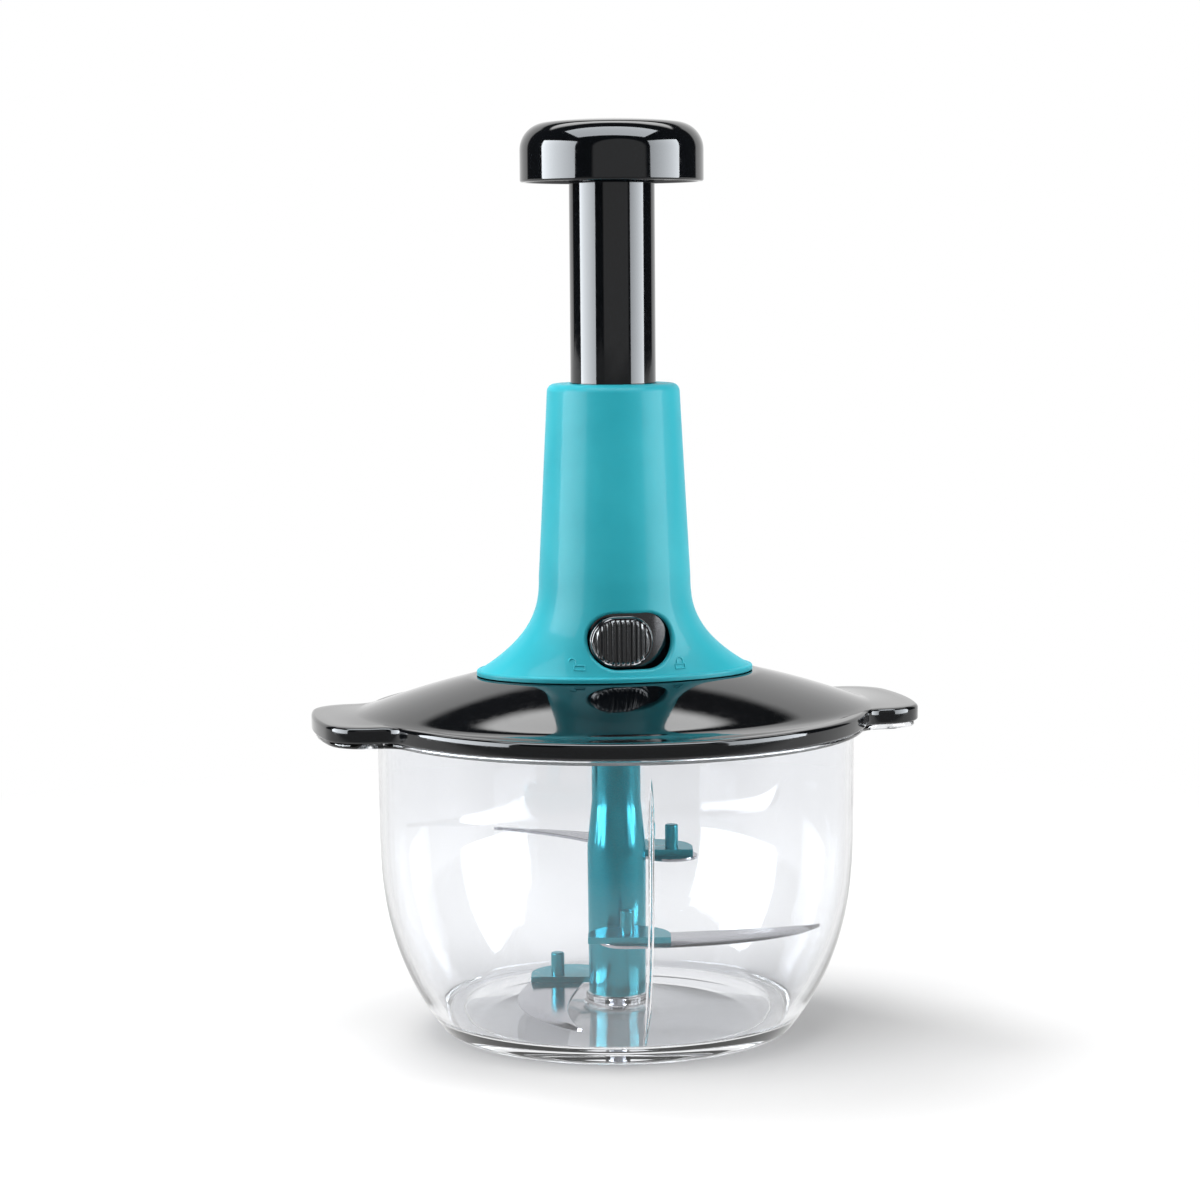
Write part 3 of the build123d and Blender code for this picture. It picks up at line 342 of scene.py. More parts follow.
skin = node(tree, "BsdfPrincipled", Base_Color=body, Roughness=0.45, IOR=1.5, Specular_IOR_Level=0.09,
            Normal=skin_peel, Coat_Weight=0.08, Coat_Roughness=0.04, Coat_IOR=1.5)
node(tree, "OutputMaterial", Surface=skin)

# %% Teal lacquer
# The blade carrier is ABS under a pearl lacquer. Its flakes, drawn 0.5 mm wide, lie flat in the
# coat, so highlights are tinted teal and the body falls dark between them. Each flake is lighter at
# its middle in the base colour: a real flake pattern with a painted sparkle on it.
teal_lacquer, tree = new_material("teal pearl lacquer")
flake = node(tree, "TexVoronoi", Vector=node(tree, "TexCoord").outputs["Object"], Scale=2200.0)
# painted sparkle: each flake's middle is lighter in the base colour
painted_flake_sparkle = node(tree, "MapRange", Value=flake, From_Max=0.6)
body = node(tree, "Mix", colours, Factor=painted_flake_sparkle, A=linear("#3FC3D4"), B=linear("#33B2C4"))
skin = node(tree, "BsdfPrincipled", Base_Color=body, Roughness=0.13, IOR=1.6,
            Specular_Tint=linear("#96E4EE"), Metallic=0.3)
node(tree, "OutputMaterial", Surface=skin)

# %% Blade steel
# Martensitic stainless strip, ground across the blade and then polished. Grinding lines 0.15 mm
# apart cross the blade and stretch its highlights a little along it.
blade_steel, tree = new_material("ground and polished blade steel")
surface = node(tree, "UVMap", {"uv_map": "surface"})
across = node(tree, "Mapping", Vector=surface, Scale=(6500.0, 260.0, 1.0))
lines = node(tree, "TexNoise", Vector=across, Scale=1.0)
grind = node(tree, "Bump", Strength=0.1, Distance=0.00002, Height=lines)
polish = node(tree, "MapRange", Value=lines, To_Min=0.10, To_Max=0.2)
skin = node(tree, "BsdfPrincipled", Base_Color=linear("#B4B4B8"), Roughness=polish, Metallic=1.0, Normal=grind)
node(tree, "OutputMaterial", Surface=skin)

# %% Zinc plated steel
# Wire, rod and screws with a bright zinc coat: a fine crystalline mottle about 0.4 mm across.
zinc_steel, tree = new_material("zinc plated steel")
crystal = node(tree, "TexVoronoi", Vector=node(tree, "TexCoord").outputs["Object"], Scale=2500.0)
tone = node(tree, "Mix", colours, Factor=crystal, A=linear("#C3C4C8"), B=linear("#A2A3A8"))
dull = node(tree, "MapRange", Value=crystal, To_Min=0.22, To_Max=0.38)
skin = node(tree, "BsdfPrincipled", Base_Color=tone, Roughness=dull, Metallic=1.0)
node(tree, "OutputMaterial", Surface=skin)

# %% White acetal
# Natural acetal, a slippery bearing plastic: waxy, milky at its edges, with turning marks.
white_acetal, tree = new_material("natural white acetal")
marks = node(tree, "TexWave", {"bands_direction": "Z"}, Vector=node(tree, "TexCoord").outputs["Object"],
             Scale=900.0, Distortion=0.6)
turning = node(tree, "Bump", Strength=0.1, Distance=0.00003, Height=marks.outputs["Fac"])
skin = node(tree, "BsdfPrincipled", Base_Color=linear("#E6E5DE"), Roughness=0.42, IOR=1.48,
            Subsurface_Weight=0.12, Subsurface_Radius=(0.0012, 0.0011, 0.001), Normal=turning)
node(tree, "OutputMaterial", Surface=skin)

# %% Grey silicone
# Moulded silicone rubber: matt, a little dusty, with a fine pebbled skin, 1 mm to a pebble.
grey_silicone, tree = new_material("moulded grey silicone")
dust = node(tree, "TexNoise", Vector=node(tree, "TexCoord").outputs["Object"], Scale=900.0, Detail=4.0)
tone = node(tree, "Mix", colours, Factor=dust, A=linear("#B4B8BA"), B=linear("#CDD0D1"))
pebble = node(tree, "Bump", Strength=0.2, Distance=0.00006, Height=dust)
skin = node(tree, "BsdfPrincipled", Base_Color=tone, Roughness=0.58, IOR=1.41, Sheen_Weight=0.15, Normal=pebble)
node(tree, "OutputMaterial", Surface=skin)

# %% Clear SAN
# SAN, the clear stiff plastic of food processor bowls, injected at the centre of its floor. The
# eye gets grey edges, doubled outlines, and tiny scuffs, 0.2 mm wide, in small patches. A shadow
# ray goes straight through with a slight loss, so that the bowl casts a pale shadow.
clear_san, tree = new_material("clear SAN")
place = node(tree, "TexCoord").outputs["Object"]
patch = node(tree, "TexNoise", Vector=place, Scale=30.0, Detail=1.0)
scuffed = node(tree, "MapRange", Value=patch, From_Min=0.6, From_Max=0.7)
scuff = node(tree, "TexVoronoi", Vector=place, Scale=900.0)
mark = node(tree, "MapRange", Value=scuff, From_Max=0.16, To_Min=1.0, To_Max=0.0)
marks = node(tree, "Math", "MULTIPLY", _0=scuffed, _1=mark)
dents = node(tree, "Bump", Strength=0.35, Distance=0.00008, Height=marks)
skin = node(tree, "BsdfPrincipled", Base_Color=linear("#F4F5F7"), Roughness=0.0, IOR=1.57,
            Transmission_Weight=1.0, Normal=dents)
open_way = node(tree, "BsdfTransparent", Color=linear("#F0F1F3"))
shadow_ray = node(tree, "LightPath").outputs["Is Shadow Ray"]
node(tree, "OutputMaterial", Surface=node(tree, "MixShader", Fac=shadow_ray, _1=skin, _2=open_way))

# %% Finishes on the CAD nodes
finishes = {
    "clear_san": clear_san, "black_abs": black_abs, "cyan_abs": cyan_abs, "teal_abs": teal_lacquer,
    "blade_steel": blade_steel, "plain_steel": zinc_steel, "white_acetal": white_acetal,
    "grey_silicone": grey_silicone,
}
for row in frame["record"]["subparts"]:
    part = cad[row["node"]]
    part.data.materials.clear()
    part.data.materials.append(finishes[row["material_slot"]])

# %% [markdown]
# ## Surfaces from grids
# Every new skin is worked out as a grid of points: rows run along the section, columns run round
# or along the piece. The helper joins neighbours into quads, closes seams and poles by merging
# points that coincide, turns all faces outwards, and lays a flat map in real lengths on the grid.


# %% Grid and section helpers
merge_distance = 2e-6              # in metres


@contextmanager
def editing(mesh):
    """Opens a mesh for work on its points and faces, and puts the result back."""
    shape = bmesh.new()
    shape.from_mesh(mesh)
    yield shape
    shape.to_mesh(mesh)
    shape.free()


def lengths(path):
    """The length run along a path at each of its points."""
    return np.concatenate([[0.0], np.cumsum(np.linalg.norm(np.diff(path, axis=0), axis=1))])


def grid_mesh(name, points, wrap_rows=False, wrap_columns=False):
    """A mesh over points[row, column] in millimetres, each quad joining a point to its next ones."""
    rows, columns = points.shape[:2]
    index = np.arange(rows * columns).reshape(rows, columns)
    if wrap_rows:
        index = np.vstack([index, index[:1]])
    if wrap_columns:
        index = np.hstack([index, index[:, :1]])
    quads = np.stack([index[:-1, :-1], index[:-1, 1:], index[1:, 1:], index[1:, :-1]], axis=-1)
    along, across = lengths(points[:, columns // 2]) * MM, lengths(points[rows // 2]) * MM
    flat = np.stack(np.meshgrid(along, across, indexing="ij"), axis=-1).reshape(-1, 2)
    mesh = bpy.data.meshes.new(name)
    mesh.from_pydata((points.reshape(-1, 3) * MM).tolist(), [], quads.reshape(-1, 4).tolist())
    corner_points = np.empty(len(mesh.loops), dtype=np.int32)
    mesh.loops.foreach_get("vertex_index", corner_points)
    surface = mesh.uv_layers.new(name="surface")
    surface.data.foreach_set("uv", flat[corner_points].ravel().astype(np.float32))
    with editing(mesh) as shape:
        bmesh.ops.remove_doubles(shape, verts=shape.verts, dist=merge_distance)
        bmesh.ops.recalc_face_normals(shape, faces=shape.faces)
    return mesh


def add_piece(name, mesh, body, material, slot, *hidden, sharp=40.0):
    """Links a mesh as a piece that rides on a body, with its finish, in place of CAD nodes."""
    mesh.materials.append(material)
    mesh.shade_smooth()
    mesh.set_sharp_from_angle(angle=radians(sharp))
    piece = bpy.data.objects.new(name, mesh)
    bpy.context.collection.objects.link(piece)
    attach(piece, body)
    if hidden:
        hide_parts(*hidden)
    print(name, len(mesh.polygons), "faces")
    return piece


def rounded(corners, radii, steps=5):
    """A path through corners, each cut back by an arc of its own radius, or kept sharp at 0.

    The arc runs between the two points where it touches the legs. Seen from its centre it swings
    evenly: a share sin((1 - t) turn) of the first spoke and sin(t turn) of the second.
    """
    corners = [np.array(corner, dtype=float) for corner in corners]
    path = [corners[0][None]]
    for k in range(1, len(corners) - 1):
        corner, radius = corners[k], radii[k]
        back = corners[k - 1] - corner
        back /= np.linalg.norm(back)
        on = corners[k + 1] - corner
        on /= np.linalg.norm(on)
        half = np.arccos(np.clip(back @ on, -1.0, 1.0)) / 2
        if radius == 0 or half > radians(89.0):
            path.append(corner[None])
            continue
        reach = radius / np.tan(half)
        centre = corner + (back + on) / np.linalg.norm(back + on) * radius / np.sin(half)
        first, second = corner + back * reach - centre, corner + on * reach - centre
        turn = pi - 2 * half
        share = np.linspace(0.0, 1.0, steps + 1)[:, None]
        swing = (np.sin((1 - share) * turn) * first + np.sin(share * turn) * second) / np.sin(turn)
        path.append(centre + swing)
    path.append(corners[-1][None])
    return np.concatenate(path)


def turned(profile, columns):
    """A profile of (radius, height) points, turned about the axis: a full circle for each point."""
    angle = np.linspace(0.0, 2 * pi, columns, endpoint=False)
    radius, height = profile[:, :1], profile[:, 1:]
    return np.stack([radius * np.cos(angle), radius * np.sin(angle), height + 0 * angle], axis=-1)


def corners_of(name):
    """A CAD node's lowest and highest corners, in millimetres."""
    low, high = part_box(name)
    return np.array(low) / MM, np.array(high) / MM


def smooth(edge_low, edge_high, value):
    """Smooth step: 0 below, 1 above, and 3 t^2 - 2 t^3 between."""
    t = np.clip((value - edge_low) / (edge_high - edge_low), 0.0, 1.0)
    return t * t * (3 - 2 * t)


# %% [markdown]
# ## The eared plan
# Bowl flange and lid share one outline: a circle with two opposite ears, whose corners and roots
# are rounded. It is worked out as arcs for a quarter of the plan, and mirrored. At every inset it
# has the same number of points, so that outlines join up column by column.

# %% Eared outline
lid_low, lid_high = corners_of("lid_cover")
ear_reach, rim_radius = lid_high[0], lid_high[1]
ear_half_width = 28.0
ear_corner = 13.0
ear_root = 7.0


def arc(centre, radius, start, stop, count):
    """Points at a radius round a centre, the angle going evenly from start to stop."""
    angle = np.linspace(start, stop, count)
    return np.stack([centre[0] + radius * np.cos(angle), centre[1] + radius * np.sin(angle)], axis=-1)


def eared_outline(inset):
    """Tip arc, corner arc, root arc and rim arc of one quarter, then mirrored in both axes."""
    tip, rim = ear_reach - inset, rim_radius - inset
    side, corner, root = ear_half_width - inset, ear_corner - inset, ear_root + inset
    corner_y = side - corner
    corner_x = np.sqrt((tip - corner) ** 2 - corner_y ** 2)
    root_y = side + root
    root_x = np.sqrt((rim + root) ** 2 - root_y ** 2)
    corner_angle = np.arctan2(corner_y, corner_x)
    root_angle = np.arctan2(root_y, root_x)
    quarter = np.concatenate([
        arc((0, 0), tip, 0.0, corner_angle, 8)[:-1],
        arc((corner_x, corner_y), corner, corner_angle, pi / 2, 12),
        arc((root_x, root_y), root, -pi / 2, root_angle - pi, 9),
        arc((0, 0), rim, root_angle, pi / 2, 32)[1:],
    ])
    half = np.concatenate([quarter, (quarter * [-1, 1])[::-1][1:]])
    return np.concatenate([half, (half * [1, -1])[::-1][1:-1]])


outline = eared_outline(0.0)
column_angle = np.unwrap(np.arctan2(outline[:, 1], outline[:, 0]))
print("eared outline:", len(outline), "columns")


def plan_row(points, height):
    """One row from points in plan."""
    return np.column_stack([points, np.full(len(points), float(height))])


def oval(long, short, angle=column_angle):
    """Points in plan: the half axes times cosine and sine of each column's angle."""
    return np.stack([long * np.cos(angle), short * np.sin(angle)], axis=-1)


def ring(radius, height, angle=column_angle):
    """One row: a circle in plan at a height."""
    return plan_row(oval(radius, radius, angle), height)


# %% [markdown]
# ## Lid
# The lid is one shell, moulded in black ABS: an eared plate with a rolled edge, and on it a crown
# that climbs from an oval foot to a flat seat for the housing. Its rows are plans: ovals for the
# crown, outlines for the plate and its wall. The crown's foot runs out in a hollow, and its face
# swells a little, because that is what spreads the dark and bright bands of the mirrored studio.

# %% Lid
plate_top = 103.0
plate_under = 100.8
wall = 2.2
crown_foot = np.array([82.0, 64.0])     # half axes
crown_seat = np.array([46.5, 31.6])
seat_height = lid_high[2]
crown_rise = seat_height - plate_top
crown_swell = 0.24                 # of the rise, times step (1 - step)
foot_hollow = 0.06                 # of the crown's run, blended into the plate
hub_radius = 7.0
skirt_radius, skirt_wall = 70.9, 2.2
skirt_low, skirt_break = lid_low[2], 0.4
skirt_ledge, under_inset = 0.5, 0.9     # what the hollow under the crown keeps clear of
wall_low = 98.0
edge_rounds = [0, 1.1, 0.7, 0]
seat_edge = [(1.2, 0.0), (0.3, 0.04)]   # inset and drop of the two last rows of the seat
last_step, run_out_width = 0.97, 1.5


def crown_row(step, drop=0.0, inset=0.0, widest=None):
    """An oval at a step from foot, 0, to seat, 1.

    Its half axes go evenly. Its height follows the step with a swell of step (1 - step), and near
    the foot it is eased in by a soft corner: half of u + sqrt(u^2 + h^2) for the run-out h.
    """
    eased = (step + np.sqrt(step ** 2 + foot_hollow ** 2)) / 2
    scale = (1 + np.sqrt(1 + foot_hollow ** 2)) / 2
    climb = eased / scale + crown_swell * step * (1 - step) * (step > 0)
    points = oval(*(crown_foot + (crown_seat - crown_foot) * step - inset))
    height = plate_top + crown_rise * climb - drop
    if widest is not None:
        reach = np.linalg.norm(points, axis=1)
        points = points * np.minimum(1.0, widest / reach)[:, None]
    return plan_row(points, height)


seat_rows = [ring(hub_radius, seat_height)]
seat_rows += [plan_row(oval(*(crown_seat - inset)), seat_height - drop) for inset, drop in seat_edge]
crown_steps = np.concatenate([[0.0], np.linspace(0.0, 0.3, 16)[1:], np.linspace(0.3, last_step, 30)[1:]])
crown_rows = [crown_row(step) for step in crown_steps[::-1]]
run_out = plan_row(oval(*(crown_foot + run_out_width)), plate_top)
edge = rounded([(4.0, plate_top), (0.0, plate_top), (0.0, wall_low), (wall, wall_low)], edge_rounds, 6)
edge_rows = [plan_row(eared_outline(inset), height) for inset, height in edge]
under_rows = [
    plan_row(eared_outline(wall), plate_under),
    ring(skirt_radius, plate_under),
    ring(skirt_radius, skirt_low + skirt_break),
    ring(skirt_radius - skirt_break, skirt_low),
    ring(skirt_radius - skirt_wall, skirt_low),
    ring(skirt_radius - skirt_wall, plate_under),
]
under_crown = [crown_row(step, wall, under_inset, skirt_radius - skirt_wall - skirt_ledge)
               for step in np.linspace(0.0, 1.0, 12)]
hub_row = ring(hub_radius, seat_height - wall)
lid_grid = np.stack(seat_rows + crown_rows + [run_out] + edge_rows + under_rows + under_crown + [hub_row])
lid_mesh = grid_mesh("lid_shell", lid_grid, wrap_rows=True, wrap_columns=True)
add_piece("lid_shell", lid_mesh, "lid_unit", black_abs, "black_abs", "lid_cover")

# %% [markdown]
# ## Bowl
# The bowl is clear SAN, so both its faces show, and the light bends through whatever lies between
# them. It has to be one closed wall with the right thickness everywhere. Its rows follow the
# section from the hole for the pivot, over the floor, up the inside, round the rim and its eared
# flange, and back down the outside to the foot ring. The belly follows a power law: it leaves the
# upright wall late and turns in fast at the foot.

# %% Bowl sections
bowl_high = corners_of("bowl")[1][2]
pivot_radius, pivot_root = 2.55, 3.5
boss_radius, boss_high = 10.2, 9.3
floor_high = 6.5
belly_high = 70.0
belly_power = 2.8
belly_base = 56.5
outer_wall, inner_wall = 75.7, 73.3
foot_radius, foot_width, foot_step, foot_recess = 55.0, 5.0, 1.2, 1.0
flange_thick, flange_inset, flange_break = 1.5, 1.2, 0.3
mouth_middle, mouth_high = 84.0, 97.3


def belly(height, top_radius, base_height):
    """Radius at a height: the top radius less a share (1 - p)^2.8, p going from foot to wall."""
    part = np.clip((height - base_height) / (belly_high - base_height), 0.0, 1.0)
    return top_radius - (top_radius - belly_base) * (1 - part) ** belly_power


rise = 1 - np.cos(np.linspace(0.0, pi / 2, 34))
inner_rise = floor_high + (belly_high - floor_high) * rise
inner_side = np.stack([belly(inner_rise, inner_wall, floor_high), inner_rise], axis=-1)
outer_rise = foot_step + (belly_high - foot_step) * rise
outer_side = np.stack([belly(outer_rise, outer_wall, foot_step), outer_rise], axis=-1)

floor_path = rounded([(pivot_radius, pivot_root), (pivot_radius, boss_high), (boss_radius, boss_high),
                      (boss_radius, floor_high), (belly_base + 0.4, floor_high), inner_side[9]],
                     [0, 0.3, 0.6, 0.9, 2.6, 0], 6)
mouth = np.array([(inner_wall, belly_high), (inner_wall + 0.15, mouth_middle), (73.6, mouth_high)])
mouth_heights = np.interp(np.linspace(0, 1, 14), np.linspace(0, 1, 3), mouth[:, 1])[1:]
mouth_radii = np.interp(mouth_heights, mouth[:, 1], mouth[:, 0])
foot_path = rounded([outer_side[3], (belly_base, foot_step), (foot_radius, 0.6), (foot_radius, 0.0),
                     (foot_radius - foot_width, 0.0), (foot_radius - foot_width, foot_recess),
                     (0.0, foot_recess)], [0, 0.8, 0.3, 0.3, 0.5, 0.3, 0], 4)
inside = np.concatenate([[(0.0, pivot_root)], floor_path, inner_side[10:],
                         np.stack([mouth_radii, mouth_heights], axis=-1), [(73.9, bowl_high)]])
outside = np.concatenate([[(76.0, bowl_high - flange_thick), (75.85, mouth_middle)], outer_side[:3:-1],
                          foot_path])

# %% Bowl with its flange and its rib
# The rib is a slim half round on the inner wall with pointed ends: it takes from the inner radius
# rib_depth sqrt(1 - u^2), where u is the distance from its middle over its own half width, which
# shrinks towards both ends.
rib_heading = radians(-94.0)
rib_half_width, rib_depth = 0.8, 0.9
rib_low, rib_high = 7.2, 89.8
rib_point, rib_taper = 16.0, 0.6   # length of each pointed end, and the power it narrows with
rib_room = radians(1.5)            # to each side, with points of its own

rib_side = np.array([0.12, 0.25, 0.4, 0.55, 0.7, 0.95, 1.3])    # degrees from its middle
rib_angle = rib_heading + radians(1.0) * np.concatenate([-rib_side[::-1], [0], rib_side])
base_angle = np.mod(column_angle, 2 * pi)


def from_rib(angle):
    """The angle from the rib's middle, between minus and plus half a turn."""
    return np.angle(np.exp(1j * (angle - rib_heading)))


keep = np.abs(from_rib(base_angle)) > rib_room
bowl_angle = np.concatenate([base_angle[keep], np.mod(rib_angle, 2 * pi)])
order = np.argsort(bowl_angle)
bowl_angle = bowl_angle[order]
flange_radius = rim_radius - flange_inset
flange_plan = np.concatenate([eared_outline(flange_inset)[keep],
                              oval(flange_radius, flange_radius, rib_angle)])[order]


def inner_row(radius, height):
    """A circle of the inner wall, less the rib where the rib stands."""
    offset = from_rib(bowl_angle) * max(radius, 1.0)
    ends = min(height - rib_low, rib_high - height)
    if ends <= 0 or radius < belly_base - 1.0:
        return ring(radius, height, bowl_angle)
    half_width = rib_half_width * min(1.0, ends / rib_point) ** rib_taper
    round_part = np.sqrt(np.clip(1 - (offset / half_width) ** 2, 0.0, 1.0))
    return ring(radius - round_part * rib_depth * half_width / rib_half_width, height, bowl_angle)


bowl_rows = [inner_row(radius, height) for radius, height in inside]
flange_section = [(flange_break, 0.0), (0.0, flange_break), (0.0, flange_thick - flange_break),
                  (flange_break, flange_thick)]
bowl_rows += [plan_row(flange_plan * (1 - inset / rim_radius), bowl_high - drop)
              for inset, drop in flange_section]
bowl_rows += [ring(radius, height, bowl_angle) for radius, height in outside]
bowl_mesh = grid_mesh("bowl_wall", np.stack(bowl_rows), wrap_columns=True)
add_piece("bowl_wall", bowl_mesh, "bowl", clear_san, "clear_san", "bowl", sharp=55.0)

# %% [markdown]
# ## Knob
# The palm knob is a turned shape: a domed top, a generous shoulder, an upright side and a thin
# rolled lip over a hollow. Its section is one path from pole to pole, out over the dome and back
# inside, so the wall is real where the eye looks under the lip.

# %% Knob
knob_low, knob_high = corners_of("knob_cap")
knob_radius = knob_high[0]
knob_dome = 2.2                    # rise of the dome
knob_wall = 2.6
shoulder_round = 8.6
lip = 0.9                          # half its thickness
dome_radius = (knob_radius ** 2 + knob_dome ** 2) / (2 * knob_dome)
dome_span = np.linspace(0.0, 19.5, 14)
dome = np.stack([dome_span, knob_high[2] - dome_radius + np.sqrt(dome_radius ** 2 - dome_span ** 2)], axis=-1)
shoulder = rounded([dome[-1], (knob_radius, knob_high[2] - knob_dome), (knob_radius, knob_low[2] + 2.2),
                    (knob_radius, knob_low[2]), (knob_radius - 2 * lip, knob_low[2]),
                    (knob_radius - knob_wall, knob_low[2] + 2.0),
                    (knob_radius - knob_wall, knob_high[2] - knob_dome - knob_wall),
                    (0.0, knob_high[2] - knob_wall)],
                   [0, shoulder_round, 0, lip - 0.1, lip - 0.1, 1.0, 6.0, 0], 12)
knob_grid = turned(np.concatenate([dome[:-1], shoulder]), 128)
add_piece("knob_shell", grid_mesh("knob_shell", knob_grid, wrap_columns=True), "plunger", black_abs,
          "black_abs", "knob_cap", sharp=55.0)

# %% [markdown]
# ## Lock button
# The button is a stadium with a convex face, a raised rim line and eleven upright grip ribs. Its
# face is a height over a flat grid: the cylinder, plus a cosine ridge for each rib that fades out
# before the rim, plus a narrow bead along the rim. The two outermost rows run back into the
# housing, so the button is a closed body.

# %% Lock button
button_low, button_high = corners_of("lock_button")
button_middle = np.array([(button_low[0] + button_high[0]) / 2, button_high[2] - 8.0])
button_front = button_low[1]       # towards -Y
button_end, button_flat = 10.0, 2.0
button_half_height = 8.0
button_curve = 30.0
button_depth = 5.5
rib_pitch, rib_proud = 1.55, 0.62
rib_ends = (1.0, 1.9)              # from the rim: where the ribs rise
bead_proud, bead_place, bead_spread = 0.42, 0.62, 0.3
edge_fall, edge_band = 0.55, 0.45


def stadium_half(x, end, flat):
    """Half height of a stadium with a straight part of half length flat, at a place x."""
    return np.sqrt(np.clip((end - flat) ** 2 - np.clip(np.abs(x) - flat, 0.0, None) ** 2, 0.0, None))


span_end = np.array([9.9, 9.95, 9.98, 9.995, 10.0])     # closer and closer, where the outline is steep
span = np.concatenate([-span_end[::-1], np.linspace(-9.8, 9.8, 225), span_end])
share = np.sin(np.linspace(-pi / 2, pi / 2, 37))
x = span[None, :] + 0 * share[:, None]
z = share[:, None] * stadium_half(span, button_end, button_flat)[None, :]
from_rim = button_half_height - np.sqrt(np.clip(np.abs(x) - button_flat, 0, None) ** 2 + z ** 2)
cylinder = button_curve - np.sqrt(button_curve ** 2 - x ** 2)
ridge = smooth(0.2, 0.75, 0.5 + 0.5 * np.cos(2 * pi * x / rib_pitch))
ribs = rib_proud * ridge * smooth(*rib_ends, from_rim)
bead = bead_proud * np.exp(-((from_rim - bead_place) / bead_spread) ** 2)
fall = edge_fall * (1 - smooth(0.0, edge_band, from_rim))
y = button_front + rib_proud + cylinder - ribs - bead + fall
face = np.stack([button_middle[0] + x, y, button_middle[1] + z], axis=-1)
back = face[[0, -1]].copy()
back[:, :, 1] = button_front + button_depth
button_grid = np.concatenate([back[:1], face, back[1:]])
add_piece("button_skin", grid_mesh("button_skin", button_grid, wrap_rows=True), "lock", satin_abs,
          "black_abs", "lock_button", sharp=50.0)

# %% [markdown]
# ## Switch plate
# Behind the button lies a curved satin plate that closes the housing's opening. It follows the
# housing's oval wall, and a step near each end leaves a dark gap beside it.

# %% Switch plate
bezel_low, bezel_high = corners_of("switch_bezel")
plate_end_x = bezel_high[0]
plate_axes = (29.3, -bezel_low[1])          # half axes of its oval
plate_gap, plate_thick = 0.2, 1.5
step_place, step_width, step_depth = 11.9, 0.9, 2.4
across = np.linspace(-plate_end_x, plate_end_x, 121)
rows_up = np.linspace(bezel_low[2] + plate_gap, bezel_high[2] - plate_gap, 25)
depth = step_depth * smooth(step_place, step_place + step_width, np.abs(across))
front = -plate_axes[1] * np.sqrt(1 - (across / plate_axes[0]) ** 2) + depth
front_face = np.stack(np.broadcast_arrays(across, front, rows_up[:, None]), axis=-1)
back_face = front_face[::-1] + np.array([0.0, plate_thick, 0.0])
plate_mesh = grid_mesh("switch_plate", np.concatenate([front_face, back_face]), wrap_rows=True)
with editing(plate_mesh) as shape:
    bmesh.ops.holes_fill(shape, edges=[edge for edge in shape.edges if edge.is_boundary], sides=0)
    bmesh.ops.recalc_face_normals(shape, faces=shape.faces)
add_piece("switch_plate", plate_mesh, "lid_unit", satin_abs, "black_abs", "switch_bezel", sharp=30.0)

# %% [markdown]
# ## Blades
# Each blade is cut from 1 mm strip: two curves run from a round heel at the pin to a shared tip,
# and the outer one is ground to a cutting edge. Rows follow the blade, columns go once round its
# section: ground lip, top of the bevel, back edge and underside.

# %% Blades
blade_turn = radians(-12.0)
shaft_low = boss_high + 0.3
lower_arm = shaft_low + 2.0
middle_arm = lower_arm + 19.4
upper_arm = middle_arm + 22.3
arms = {                           # height, pin heading, tip's gap to the wall, sweep, lift of the tip
    "upper": (upper_arm, 27.0, 4.9, 101.0, 1.1),
    "middle": (middle_arm, 279.0, 3.0, 81.0, 0.35),
    "lower": (lower_arm, 166.0, 5.5, 93.0, 0.0),
}
pin_circle = 20.0
blade_thick = 1.0
heel_radius = 8.5
bevel_width = 2.6
lip_thick = 0.18
grind_start = 0.12                 # share of the blade over which the grinding sets in
edge_break = 0.12                  # small round on the unground edges


def bezier(handles, t):
    """Cubic curve through the first and last handle: weights (1-t)^3, 3t(1-t)^2, 3t^2(1-t), t^3."""
    t = t[:, None]
    a, b, c, d = (np.array(h) for h in handles)
    return a * (1 - t) ** 3 + 3 * b * t * (1 - t) ** 2 + 3 * c * t ** 2 * (1 - t) + d * t ** 3


